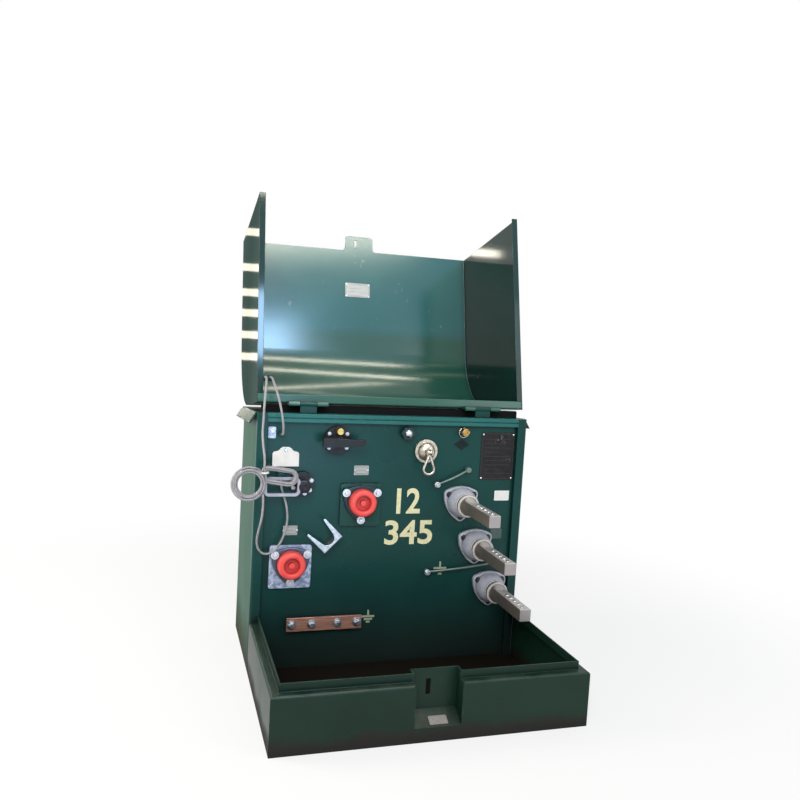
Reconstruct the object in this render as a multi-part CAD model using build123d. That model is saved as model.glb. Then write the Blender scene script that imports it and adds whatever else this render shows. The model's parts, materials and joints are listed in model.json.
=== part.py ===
import os
from math import cos, pi, radians, sin, tan

from build123d import *

# Overall sizes of the transformer, in millimetres
tank_width = 800
tank_depth = 370
tank_height = 725
sill_depth = 450
sill_height = 140
hood_rise = 22
hood_clearance = 5
hood_slope = 5
open_angle = 192.7
sheet = 3
overrun = 20

# Tank body, its front frame and its roof
plate_thickness = 10
front_recess = 12
jamb_width = 28
rail_height = 24
rail_groove = 3
rail_groove_drop = 11
jamb_bend = 6
tank_corner = 18
cover_thickness = 5
cover_fall = 22
skirt_height = 30
skirt_flare = 18

# Sill around the cable opening
ledge_width = 22
lip_height = 21
sill_bend = 6
lip_bend = 4
pocket_width = 124
pocket_depth = 46
pocket_floor_front = 36
pocket_floor_back = 60
keyhole_width = 12
keyhole_height = 40
keyhole_drop = 26
keyhole_offset = -14

# Hood, drawn shut over the sill and then swung open
hood_bend = 220
hood_edge_bend = 6
hinge_flange = 25
side_flange = 14
flange_gap = 1
tab_width = 100
tab_height = 52
tab_corner = 12
tab_root = 10
tab_slot_width = 8
tab_slot_height = 26
tab_slot_offset = -12
clip_width = 30
clip_depth = 14
clip_height = 16
clip_drop = 62

# Hinges between the tank's top rail and the hood
hinge_span_share = 0.65
hinge_length = 110
hinge_setback = 16
hinge_rise = 4
knuckle_radius = 7
pin_radius = 4
pin_clearance = 0.3
tank_knuckle_length = 46
knuckle_gap = 1
leaf_reach = 35
leaf_thickness = 4
lug_thickness = 8

# High-voltage bushing wells with their dust caps
upper_well_inset = 272
upper_well_height_share = 0.669
lower_well_inset = 79
lower_well_height_share = 0.422
clamp_width = 118
clamp_height = 122
clamp_corner = 8
clamp_thickness = 8
well_rise = 11
clamp_ring_reach = 46
clamp_ring_arc = 100
clamp_ring_corner = 12
clamp_ring_thickness = 12
clamp_ring_round = 3
cap_radius = 38.5
cap_length = 28
cap_round = 9
cap_hollow_radius = 22
cap_hollow_depth = 18
cap_hollow_round = 5
cap_nub_radius = 8
cap_nub_length = 10

# Low-voltage bushings, stepped down to the right
bushing_count = 3
bushing_inset = 168
bushing_height_share = 0.679
bushing_step = 54
bushing_step_share = 0.1854
flange_reach = 46
flange_arc = 96
flange_corner = 14
flange_thickness = 13
flange_round = 4
bushing_base_radius = 43
bushing_neck_radius = 28
bushing_dome_bulge = 5
bushing_dome_length = 42
collar_radius = 31
collar_length = 7
collar_groove_radius = 26
collar_groove_length = 4
shoulder_length = 24
bar_side = 34
bar_length = 162
bar_round = 3

# Parking stand for cable elbows
stand_inset = 173
stand_height_share = 0.5464
stand_turn = 45
stand_reach = 46
stand_heel = 26
stand_half_width = 40
stand_slot_radius = 19
stand_tip = 6
stand_standoff = 36
stand_plate = 6
stand_web = 34

# Tap changer above the upper bushing well
tap_inset = 197
tap_height_share = 0.93
tap_flange_radius = 40
tap_flange_thickness = 12
tap_hub_radius = 15
tap_hub_length = 34
tap_handle_length = 126
tap_handle_shift = 12
tap_handle_height = 26
tap_handle_tip_height = 18
tap_handle_slant = 14
tap_handle_thickness = 16
tap_handle_round = 4
tap_pin_rise = 29
tap_pin_radius = 9
tap_pin_length = 26

# Switch with its loop handle
switch_inset = 102
switch_height_share = 0.756
switch_flange_radius = 34
switch_flange_thickness = 14
switch_hub_radius = 16
switch_hub_length = 30
loop_length = 98
loop_height = 52
loop_bar = 8
loop_corner = 14
loop_start = -12
loop_foot = 12

# Pressure relief valve with its pull ring
relief_width_share = 0.2366
relief_height_share = 0.8916
relief_radius = 34
relief_thickness = 9
relief_dome_radius = 27
relief_dome_bulge = 3
relief_dome_length = 16
relief_nose_radius = 12
clevis_gap = 11
clevis_ear = 4
clevis_height = 14
clevis_length = 20
ring_pin_radius = 2.5
ring_eye_radius = 5.5
ring_eye_length = 9
ring_root = 3.5
ring_half_width = 22
ring_drop = 62
ring_bend = 14.8
ring_bar_radius = 3

# Plugs, earth bar and bonding wires
fill_plug_width_share = 0.07
fill_plug_height_share = 0.9658
fill_plug_radius = 19
fill_plug_length = 14
plug_neck_radius = 14
plug_neck_length = 10
vent_plug_inset = 172
vent_plug_height_share = 0.976
vent_plug_radius = 12
vent_plug_length = 20
vent_neck_radius = 9
vent_neck_length = 8
earth_bar_inset = 182
earth_bar_height_share = 0.1883
earth_bar_width = 215
earth_bar_height = 38
earth_bar_thickness = 6
earth_post_radius = 9
earth_post_length = 14
earth_post_spread_share = 0.38
wire_radius = 3
wire_stud_radius = 8
wire_stud_length = 14
wire_bow = 10
upper_wire_inset = 245
upper_wire_height_share = 0.7518
upper_wire_end_inset = 150
upper_wire_end_height_share = 0.8146
lower_wire_inset = 260
lower_wire_height_share = 0.3809
lower_wire_end_inset = 32
lower_wire_end_height_share = 0.4151

# Grey cord: out of a gland, over the hood's lip to a clip, down to a tied coil and in a loop to a cleat.
# Its places are (right, out of the front plate, up), from the plate's top left corner or from the switch.
cord_radius = 3
cord_arc_share = 0.45
gland_radius = 8
gland_length = 10
gland_right = 39
gland_down = 33
clip_lead = 26
clip_rise_place = 22
clip_fall_place = 8
rise_from_corner = [(gland_right, gland_length, -gland_down), (gland_right, 34, -gland_down), (38, 50, -17),
                    (34, 54, 14), (28, 48, 46), (22, 32, 74), (15, 10, 100)]
fall_from_corner = [(-8, 13, 109), (-12, 32, 81), (-15, 41, 47), (-16, 45, 10), (-18, 49, -26)]
fall_from_switch = [(-118, 63, 111), (-114, 77, 81), (-114, 77, 53)]
loop_from_switch = [(-114, 77, -41), (-114, 77, -67), (-118, 70, -96), (-122, 55, -125), (-123, 39, -154),
                    (-115, 30, -180), (-96, 27, -193), (-73, 27, -185), (-56, 27, -162), (-44, 28, -130),
                    (-39, 30, -95), (-43, 32, -60), (-52, 30, -30), (-63, 29, 3), (-63, 29, 26)]
cleat_width = 16
cleat_reach = 37
cleat_height = 16
coil_right = -154
coil_out = 79
coil_up = 14
coil_radius = 39
coil_bundle_radius = 8.5
coil_neck_radius = 9
hank_right = -74
hank_out = 69
hank_up = 33
hank_length = 94
hank_height = 36
hank_bundle_radius = 7
hank_tilt = 8

# Places worked out from the sizes above
half_width = tank_width / 2
hinge_span = half_width * hinge_span_share
front_y = -tank_depth / 2
rear_y = tank_depth / 2
plate_y = front_y + front_recess
wall_y = plate_y + plate_thickness
plate_top = tank_height - rail_height
plate_half = half_width - jamb_width
roof_fall = Vector(0, 1, 0).get_angle(Vector(0, tank_depth, cover_fall))
sill_front_y = front_y - sill_depth
hood_rear_y = front_y - hood_clearance
hood_bottom = sill_height + hood_clearance
hood_top = tank_height + hood_rise
hinge_y = front_y + hinge_setback
hinge_z = hood_top + hinge_rise
hinge_axis = Axis((0, hinge_y, hinge_z), (1, 0, 0))


def from_left(inset, height_share):
    """A place on the front plate, measured in from its left edge."""
    return (inset - plate_half, plate_top * height_share)


def from_right(inset, height_share):
    """A place on the front plate, measured in from its right edge."""
    return (plate_half - inset, plate_top * height_share)


upper_well = from_left(upper_well_inset, upper_well_height_share)
lower_well = from_left(lower_well_inset, lower_well_height_share)
stand_place = from_left(stand_inset, stand_height_share)
tap_place = from_left(tap_inset, tap_height_share)
switch_place = from_left(switch_inset, switch_height_share)
relief_place = (plate_half * relief_width_share, plate_top * relief_height_share)
fill_plug_place = (plate_half * fill_plug_width_share, plate_top * fill_plug_height_share)
vent_plug_place = from_right(vent_plug_inset, vent_plug_height_share)
earth_bar_place = from_left(earth_bar_inset, earth_bar_height_share)
upper_wire_start = from_right(upper_wire_inset, upper_wire_height_share)
upper_wire_end = from_right(upper_wire_end_inset, upper_wire_end_height_share)
lower_wire_start = from_right(lower_wire_inset, lower_wire_height_share)
lower_wire_end = from_right(lower_wire_end_inset, lower_wire_end_height_share)


def block(x_low, x_high, y_low, y_high, z_low, z_high):
    size = Box(x_high - x_low, y_high - y_low, z_high - z_low)
    return Pos((x_low + x_high) / 2, (y_low + y_high) / 2, (z_low + z_high) / 2) * size


def rod_y(place, radius, start, length):
    """A round rod that stands out of the front plate, from start for length."""
    middle = plate_y - start - length / 2
    return Pos(place[0], middle, place[1]) * Rot(90, 0, 0) * Cylinder(radius, length)


def rod_x(radius, x_low, x_high, y, z):
    return Pos((x_low + x_high) / 2, y, z) * Rot(0, 90, 0) * Cylinder(radius, x_high - x_low)


def front_plane(place, start):
    """A plane on the front plate, facing the viewer, at a distance start from it."""
    return Plane(origin=(place[0], plate_y - start, place[1]), x_dir=(1, 0, 0), z_dir=(0, -1, 0))


def turned(place, start, outline):
    """A solid of revolution about an axis out of the front plate, from a (radius, distance) outline."""
    solid = revolve(make_face(outline), Axis.Y)
    return Pos(place[0], plate_y - start, place[1]) * Rot(180, 0, 0) * solid


def rounded_triangle(reach, arc, corner):
    """A triangle that points down, with bowed sides at a distance reach from its middle."""
    shift = arc - reach
    sides = [Pos(-shift * cos(radians(a)), -shift * sin(radians(a))) * Circle(arc) for a in (90, 210, 330)]
    triangle = sides[0] & sides[1] & sides[2]
    return fillet(triangle.vertices(), corner)


def side_outline(points):
    """A face in the side view, from (y, z) points."""
    return Plane.YZ * make_face(Polyline(*points, close=True))


def round_corners(face, corners, radius):
    """Rounds the corners of a side-view face that lie nearest to the given (y, z) points."""
    chosen = [min(face.vertices(), key=lambda v: (v.Y - y) ** 2 + (v.Z - z) ** 2) for y, z in corners]
    return fillet(chosen, radius)


def tank_body():
    top = tank_height - cover_thickness / cos(radians(roof_fall))
    fall = (rear_y - wall_y) * tan(radians(roof_fall))
    outline = side_outline([(wall_y, 0), (rear_y, 0), (rear_y, top - fall), (wall_y, top)])
    body = extrude(outline, half_width, both=True)
    rear_edges = body.edges().filter_by(Axis.Z).group_by(Axis.Y)[-1]
    return fillet(rear_edges, tank_corner)


def tank_cover():
    tilt = radians(roof_fall)
    length = (rear_y - wall_y + cover_thickness * sin(tilt)) / cos(tilt) + sheet
    flare = -Vector(0, 0, 1).get_angle(Vector(skirt_flare, 0, skirt_height))
    roof = Pos(0, length / 2, 0) * Rectangle(tank_width + 2 * sheet, length)
    under = Pos(0, length / 2 - sheet, -cover_thickness) * Rectangle(tank_width, length)
    outer = extrude(roof, skirt_height, dir=(0, 0, -1), taper=flare)
    inner = extrude(under, skirt_height, dir=(0, 0, -1), taper=flare)
    cover = Pos(0, wall_y, tank_height) * Rot(-roof_fall, 0, 0) * (outer - inner)
    return cover - block(-tank_width, tank_width, wall_y - tank_depth, wall_y, 0, 2 * tank_height)


def left_jamb():
    jamb = block(-half_width, -plate_half, front_y, wall_y, 0, tank_height)
    edge = jamb.edges().filter_by(Axis.Z).group_by(Axis.Y)[0].sort_by(Axis.X)[0]
    return fillet(edge, jamb_bend)


def top_rail():
    rail = block(-plate_half, plate_half, front_y, wall_y, plate_top, tank_height)
    groove_top = tank_height - rail_groove_drop
    groove = block(-plate_half, plate_half, front_y, front_y + rail_groove,
                   groove_top - rail_groove, groove_top)
    return rail - groove


def front_plate():
    plate = block(-plate_half, plate_half, plate_y, wall_y, 0, plate_top)
    gland = rod_y((gland_right - plate_half, plate_top - gland_down), gland_radius, 0, gland_length)
    x, y, z = beside_switch(loop_from_switch[-1])
    cleat = block(x - cleat_width / 2, x + cleat_width / 2, plate_y - cleat_reach, plate_y,
                  z, z + cleat_height)
    return plate + gland + cleat


def sill_section(plane):
    """The bent sheet of the sill: outer wall, inward ledge and raised lip."""
    inner = ledge_width + sheet
    lip_top = sill_height + lip_height
    points = [(0, 0), (0, sill_height), (ledge_width, sill_height), (ledge_width, lip_top),
              (inner, lip_top), (inner, sill_height - sheet), (sheet, sill_height - sheet), (sheet, 0)]
    face = make_face(Polyline(*points, close=True))
    bends = {1: sill_bend, 2: lip_bend - sheet, 5: lip_bend, 6: sill_bend - sheet}
    for index, radius in bends.items():
        x, y = points[index]
        corner = min(face.vertices(), key=lambda v: (v.X - x) ** 2 + (v.Y - y) ** 2)
        face = fillet(corner, radius)
    return plane * face


def sill_side():
    plane = Plane(origin=(-half_width, front_y, 0), x_dir=(1, 0, 0), z_dir=(0, -1, 0))
    wall = extrude(sill_section(plane), sill_depth)
    mitre = Plane(origin=(-half_width, sill_front_y, 0), z_dir=(1, -1, 0))
    return split(wall, mitre, keep=Keep.BOTTOM)


def sill_front():
    plane = Plane(origin=(-half_width, sill_front_y, 0), x_dir=(0, 1, 0), z_dir=(1, 0, 0))
    wall = extrude(sill_section(plane), half_width - pocket_width / 2)
    mitre = Plane(origin=(-half_width, sill_front_y, 0), z_dir=(1, -1, 0))
    return split(wall, mitre, keep=Keep.TOP)


def lock_pocket():
    half = pocket_width / 2
    back = sill_front_y + pocket_depth
    lip_y = sill_front_y + ledge_width
    lip_top = sill_height + lip_height
    front = sill_front_y
    skin = side_outline([
        (front, 0), (front, pocket_floor_front), (back, pocket_floor_back), (back, lip_top),
        (back + sheet, lip_top), (back + sheet, pocket_floor_back - sheet),
        (front + sheet, pocket_floor_front - sheet), (front + sheet, 0)])
    cheek = side_outline([
        (front, pocket_floor_front), (front, sill_height), (lip_y, sill_height), (lip_y, lip_top),
        (back + sheet, lip_top), (back + sheet, pocket_floor_back)])
    pocket = extrude(skin, half, both=True)
    for side in (-half, half - sheet):
        pocket += Pos(side, 0, 0) * extrude(cheek, sheet)
    hole_top = lip_top - keyhole_drop
    hole = block(keyhole_offset - keyhole_width / 2, keyhole_offset + keyhole_width / 2,
                 back - sheet, back + 2 * sheet, hole_top - keyhole_height, hole_top)
    return pocket - hole


def swung_open(part):
    return part.rotate(hinge_axis, -open_angle)


def hood_corner_points(inset):
    """The hood's outline in side view, moved in from its outer face by inset."""
    drop = tan(radians(hood_slope))
    lower = inset / cos(radians(hood_slope))
    rear = hood_rear_y - inset
    front = sill_front_y + inset
    return [(rear, hood_top - lower - inset * drop),
            (front, hood_top - lower - (hood_rear_y - front) * drop),
            (front, hood_bottom)]


def hood_panel():
    outer = hood_corner_points(0)
    inner = hood_corner_points(sheet)
    flange_end = hood_top - hinge_flange
    points = [(outer[0][0], flange_end), *outer, *reversed(inner), (inner[0][0], flange_end)]
    profile = side_outline(points)
    profile = round_corners(profile, [outer[1]], hood_bend)
    profile = round_corners(profile, [inner[1]], hood_bend - sheet)
    profile = round_corners(profile, [outer[0]], hood_edge_bend)
    profile = round_corners(profile, [inner[0]], hood_edge_bend - sheet)
    panel = extrude(profile, half_width - sheet, both=True) + lock_tab()
    middle = sill_front_y + sheet / 2
    roots = [panel.edges().sort_by_distance((x, middle, hood_bottom))[0] for x in (-tab_width / 2, tab_width / 2)]
    return swung_open(fillet(roots, tab_root))


def lock_tab():
    tab = block(-tab_width / 2, tab_width / 2, sill_front_y, sill_front_y + sheet,
                hood_bottom - tab_height, hood_bottom)
    lower_corners = tab.edges().filter_by(Axis.Y).group_by(Axis.Z)[0]
    tab = fillet(lower_corners, tab_corner)
    slot_low = hood_bottom - tab_height / 2 - tab_slot_height / 2
    slot = block(tab_slot_offset - tab_slot_width / 2, tab_slot_offset + tab_slot_width / 2,
                 sill_front_y - sheet, sill_front_y + 2 * sheet, slot_low, slot_low + tab_slot_height)
    return tab - slot


def hood_side():
    corners = hood_corner_points(0)
    outline = side_outline([(hood_rear_y, hood_bottom), *corners])
    outline = round_corners(outline, [corners[1]], hood_bend)
    plate = Pos(-half_width, 0, 0) * extrude(outline, sheet)
    flange = block(-half_width, -half_width + sheet + side_flange, hood_rear_y - sheet, hood_rear_y,
                   hood_bottom, hood_top - hinge_flange - flange_gap)
    return swung_open(plate + flange)


def cord_clip():
    """The clip on the hood's left flange that holds the grey cord."""
    left = -half_width + side_flange
    top = hood_top - clip_drop
    return swung_open(block(left, left + clip_width, hood_rear_y - clip_depth, hood_rear_y,
                            top - clip_height, top))


def tank_hinge(centre):
    half = tank_knuckle_length / 2
    knuckle = rod_x(knuckle_radius, centre - half, centre + half, hinge_y, hinge_z)
    lug = block(centre - half, centre + half, hinge_y - lug_thickness / 2, hinge_y + lug_thickness / 2,
                tank_height, hinge_z)
    pin = rod_x(pin_radius, centre - hinge_length / 2, centre + hinge_length / 2, hinge_y, hinge_z)
    return knuckle + lug + pin


def hood_hinge(centre):
    fall = leaf_reach * tan(radians(hood_slope))
    front = hood_rear_y - leaf_reach
    strip = side_outline([(front, hood_top - fall), (hood_rear_y, hood_top),
                          (hood_rear_y, hood_top + leaf_thickness),
                          (front, hood_top - fall + leaf_thickness)])
    arm = side_outline([(hood_rear_y, hood_top), (hinge_y, hood_top),
                        (hinge_y, hood_top + leaf_thickness), (hood_rear_y, hood_top + leaf_thickness)])
    start = centre - hinge_length / 2
    knuckle_length = (hinge_length - tank_knuckle_length) / 2 - knuckle_gap
    leaf = Pos(start, 0, 0) * extrude(strip, hinge_length)
    for x in (start, centre + hinge_length / 2 - knuckle_length):
        leaf += Pos(x, 0, 0) * extrude(arm, knuckle_length)
        leaf += rod_x(knuckle_radius, x, x + knuckle_length, hinge_y, hinge_z)
    bore = rod_x(pin_radius + pin_clearance, start - overrun, start + hinge_length + overrun, hinge_y, hinge_z)
    return swung_open(leaf - bore)


def well_centre(place):
    return (place[0], place[1] + well_rise)


def bushing_clamp(place):
    plate = extrude(front_plane(place, 0) * RectangleRounded(clamp_width, clamp_height, clamp_corner),
                    clamp_thickness)
    triangle = rounded_triangle(clamp_ring_reach, clamp_ring_arc, clamp_ring_corner)
    ring = extrude(front_plane(well_centre(place), clamp_thickness) * triangle, clamp_ring_thickness)
    return plate + fillet(ring.edges().group_by(Axis.Y)[0], clamp_ring_round)


def dust_cap(place):
    well = well_centre(place)
    base = clamp_thickness + clamp_ring_thickness
    cap = rod_y(well, cap_radius, base, cap_length)
    cap = fillet(cap.edges().group_by(Axis.Y)[0], cap_round)
    floor = base + cap_length - cap_hollow_depth
    cap -= rod_y(well, cap_hollow_radius, floor, cap_hollow_depth + overrun)
    rim = cap.edges().filter_by(GeomType.CIRCLE).group_by(Axis.Y)[0].sort_by(SortBy.RADIUS)[0]
    cap = fillet(rim, cap_hollow_round)
    return cap + rod_y(well, cap_nub_radius, floor, cap_nub_length)


def bushing_place(index):
    return from_right(bushing_inset - index * bushing_step, bushing_height_share - index * bushing_step_share)


def low_voltage_bushing(place):
    triangle = rounded_triangle(flange_reach, flange_arc, flange_corner)
    flange = extrude(front_plane(place, 0) * triangle, flange_thickness)
    flange = fillet(flange.edges().group_by(Axis.Y)[0], flange_round)
    half_dome = bushing_dome_length / 2
    middle_radius = (bushing_base_radius + bushing_neck_radius) / 2 + bushing_dome_bulge
    groove = bushing_dome_length + collar_length
    ring = groove + collar_groove_length
    end = ring + collar_length
    dome = ThreePointArc((bushing_base_radius, 0), (middle_radius, half_dome),
                         (bushing_neck_radius, bushing_dome_length))
    collars = Polyline((bushing_neck_radius, bushing_dome_length), (collar_radius, bushing_dome_length),
                       (collar_radius, groove), (collar_groove_radius, groove), (collar_groove_radius, ring),
                       (collar_radius, ring), (collar_radius, end), (0, end), (0, 0), (bushing_base_radius, 0))
    return flange + turned(place, flange_thickness, dome + collars)


def bar_connector(place):
    start = flange_thickness + bushing_dome_length + 2 * collar_length + collar_groove_length
    shoulder = front_plane(place, start) * Circle(collar_groove_radius)
    tip = front_plane(place, start + shoulder_length) * RectangleRounded(bar_side, bar_side, bar_round)
    neck = loft([shoulder.face(), tip.face()])
    bar = extrude(tip, bar_length)
    bar = fillet(bar.edges().group_by(Axis.Y)[0], bar_round / 2)
    return neck + bar


def parking_stand():
    half = stand_half_width
    slot = stand_slot_radius
    outline = Polyline((-stand_heel, -half), (0, -half), (stand_reach, -slot - stand_tip),
                       (stand_reach, slot + stand_tip), (0, half), (-stand_heel, half), close=True)
    fork = make_face(outline) - Circle(slot)
    fork -= Pos(stand_reach / 2, 0) * Rectangle(stand_reach, 2 * slot)
    base = front_plane(stand_place, stand_standoff)
    fork = extrude(base * Rot(0, 0, 180 - stand_turn) * fork, stand_plate)
    foot = Pos(-stand_slot_radius - (stand_heel - stand_slot_radius) / 2, 0)
    web = Rectangle(stand_heel - stand_slot_radius, stand_web)
    web = extrude(front_plane(stand_place, 0) * Rot(0, 0, 180 - stand_turn) * foot * web, stand_standoff)
    return fork + web


def tap_changer_body():
    flange = rod_y(tap_place, tap_flange_radius, 0, tap_flange_thickness)
    return flange + rod_y(tap_place, tap_hub_radius, tap_flange_thickness, tap_hub_length - pin_clearance)


def tap_changer_handle():
    start = tap_flange_thickness + tap_hub_length
    half = tap_handle_length / 2
    tall = tap_handle_height / 2
    tip = tap_handle_tip_height / 2
    outline = make_face(Polyline((-half, -tall), (half - tap_handle_slant, -tip), (half, tip), (-half, tall),
                                 close=True))
    bar = extrude(front_plane(tap_place, start) * Pos(tap_handle_shift, 0) * outline, tap_handle_thickness)
    return fillet(bar.edges().filter_by(Axis.Y), tap_handle_round)


def tap_lock_pin():
    place = (tap_place[0], tap_place[1] + tap_pin_rise)
    return rod_y(place, tap_pin_radius, tap_flange_thickness, tap_pin_length)


def switch_body():
    flange = rod_y(switch_place, switch_flange_radius, 0, switch_flange_thickness)
    hub = rod_y(switch_place, switch_hub_radius, switch_flange_thickness, switch_hub_length - pin_clearance)
    return flange + hub


def switch_handle():
    start = switch_flange_thickness + switch_hub_length
    foot = rod_y(switch_place, switch_hub_radius, start, loop_foot)
    centre = Pos(loop_start - loop_length / 2, 0)
    frame = RectangleRounded(loop_length, loop_height, loop_corner)
    frame -= RectangleRounded(loop_length - 2 * loop_bar, loop_height - 2 * loop_bar, loop_corner - loop_bar)
    loop = extrude(front_plane(switch_place, start) * centre * frame, loop_bar)
    return foot + loop


def relief_valve():
    disc = rod_y(relief_place, relief_radius, 0, relief_thickness)
    middle_radius = (relief_dome_radius + relief_nose_radius) / 2 + relief_dome_bulge
    arc = ThreePointArc((relief_dome_radius, 0), (middle_radius, relief_dome_length / 2),
                        (relief_nose_radius, relief_dome_length))
    rest = Polyline((relief_nose_radius, relief_dome_length), (0, relief_dome_length), (0, 0),
                    (relief_dome_radius, 0))
    valve = disc + turned(relief_place, relief_thickness, arc + rest)
    base = plate_y - relief_thickness - relief_dome_length
    half = clevis_gap / 2
    for x in (-half - clevis_ear, half):
        left = relief_place[0] + x
        valve += block(left, left + clevis_ear, base - clevis_length, base + relief_thickness,
                       relief_place[1] - clevis_height / 2, relief_place[1] + clevis_height / 2)
    reach = half + clevis_ear
    return valve + rod_x(ring_pin_radius, relief_place[0] - reach, relief_place[0] + reach, ring_pin_y(),
                         relief_place[1])


def ring_pin_y():
    return plate_y - relief_thickness - relief_dome_length - clevis_length + clevis_height / 2


def relief_ring():
    x, z = relief_place
    y = ring_pin_y()
    low = z - ring_drop
    path = FilletPolyline((x, y, z - ring_root), (x - ring_half_width, y, low), (x, y, low), radius=ring_bend)
    half = sweep(Plane(origin=path @ 0, z_dir=path % 0) * Circle(ring_bar_radius), path=path)
    other_half = mirror(half, Plane(origin=(x, y, z), z_dir=(1, 0, 0)))
    eye = rod_x(ring_eye_radius, x - ring_eye_length / 2, x + ring_eye_length / 2, y, z)
    bore = rod_x(ring_pin_radius + pin_clearance, x - overrun, x + overrun, y, z)
    return eye + half + other_half - bore


def fill_plug():
    neck = rod_y(fill_plug_place, plug_neck_radius, 0, plug_neck_length)
    head = front_plane(fill_plug_place, plug_neck_length) * RegularPolygon(fill_plug_radius, 6)
    return neck + extrude(head, fill_plug_length)


def vent_plug():
    neck = rod_y(vent_plug_place, vent_neck_radius, 0, vent_neck_length)
    head = front_plane(vent_plug_place, vent_neck_length) * RegularPolygon(vent_plug_radius, 6)
    return neck + extrude(head, vent_plug_length)


def earth_bar():
    face = Rectangle(earth_bar_width, earth_bar_height)
    bar = extrude(front_plane(earth_bar_place, earth_post_length) * face, earth_bar_thickness)
    spread = earth_bar_width * earth_post_spread_share
    for side in (-spread, spread):
        bar += rod_y((earth_bar_place[0] + side, earth_bar_place[1]), earth_post_radius, 0, earth_post_length)
    return bar


def bonding_wire(start, end):
    """A stiff wire between two studs, bowed a little away from the plate."""
    out = plate_y - wire_stud_length / 2
    middle = ((start[0] + end[0]) / 2, out - wire_bow, (start[1] + end[1]) / 2)
    path = ThreePointArc((start[0], out, start[1]), middle, (end[0], out, end[1]))
    wire = sweep(Plane(origin=path @ 0, z_dir=path % 0) * Circle(wire_radius), path=path)
    for place in (start, end):
        wire += rod_y(place, wire_stud_radius, 0, wire_stud_length)
    return wire


def beside_corner(place):
    return (place[0] - plate_half, plate_y - place[1], plate_top + place[2])


def beside_switch(place):
    return (switch_place[0] + place[0], plate_y - place[1], switch_place[1] + place[2])


def clip_exit(across):
    """The first two points of a cord that leaves the clip's front, at a distance across it."""
    x = -half_width + side_flange + across
    height = hood_top - clip_drop - clip_height / 2
    hinge = Vector(0, hinge_y, hinge_z)
    points = []
    for y in (hood_rear_y, hood_rear_y + clip_lead):
        from_hinge = Vector(x, y, height) - hinge
        points.append(tuple(hinge + from_hinge.rotate(Axis.X, -open_angle)))
    return points


def cord_radii(points):
    """The largest arc at each corner of a cord's route that its two runs allow."""
    places = [Vector(*point) for point in points]
    radii = []
    for before, corner, after in zip(places, places[1:], places[2:]):
        half_turn = radians((corner - before).get_angle(after - corner) / 2)
        shorter = min((corner - before).length, (after - corner).length)
        radii.append(cord_arc_share * shorter / tan(half_turn))
    return radii


def cord_tube(name, points):
    radii = cord_radii(points)
    path = FilletPolyline(*points, radius=radii)
    tube = sweep(Plane(origin=path @ 0, z_dir=path % 0) * Circle(cord_radius), path=path)
    share = tube.volume / (pi * cord_radius ** 2 * path.length)
    print(name, "length", round(path.length, 1), "volume share", round(share, 3))
    print("  smallest radius", round(min(radii), 1), "of", [round(radius) for radius in radii])
    print("  route", [tuple(round(value, 1) for value in point) for point in points])
    return tube


def cord_rise():
    points = [beside_corner(place) for place in rise_from_corner]
    return cord_tube("cord_rise", points + clip_exit(clip_rise_place)[::-1])


def cord_fall():
    points = clip_exit(clip_fall_place) + [beside_corner(place) for place in fall_from_corner]
    return cord_tube("cord_fall", points + [beside_switch(place) for place in fall_from_switch])


def cord_loop():
    return cord_tube("cord_loop", [beside_switch(place) for place in loop_from_switch])


def cord_coil():
    """The tied coil: a ring, the upright neck beside it and the long hank to the right."""
    centre = beside_switch((coil_right, coil_out, coil_up))
    ring = Pos(*centre) * Rot(90, 0, 0) * Torus(coil_radius, coil_bundle_radius)
    x, y, neck_top = beside_switch(fall_from_switch[-1])
    neck_low = beside_switch(loop_from_switch[0])[2]
    neck = Pos(x, y, (neck_low + neck_top) / 2) * Cylinder(coil_neck_radius, neck_top - neck_low)
    middle = beside_switch((hank_right, hank_out, hank_up))
    width = hank_length - 2 * hank_bundle_radius
    height = hank_height - 2 * hank_bundle_radius
    along = (cos(radians(hank_tilt)), 0, -sin(radians(hank_tilt)))
    loop = Plane(origin=middle, x_dir=along, z_dir=(0, -1, 0)) * SlotOverall(width, height)
    path = loop.face().outer_wire()
    hank = sweep(Plane(origin=path @ 0, z_dir=path % 0) * Circle(hank_bundle_radius), path=path)
    return ring + neck + hank


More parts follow.
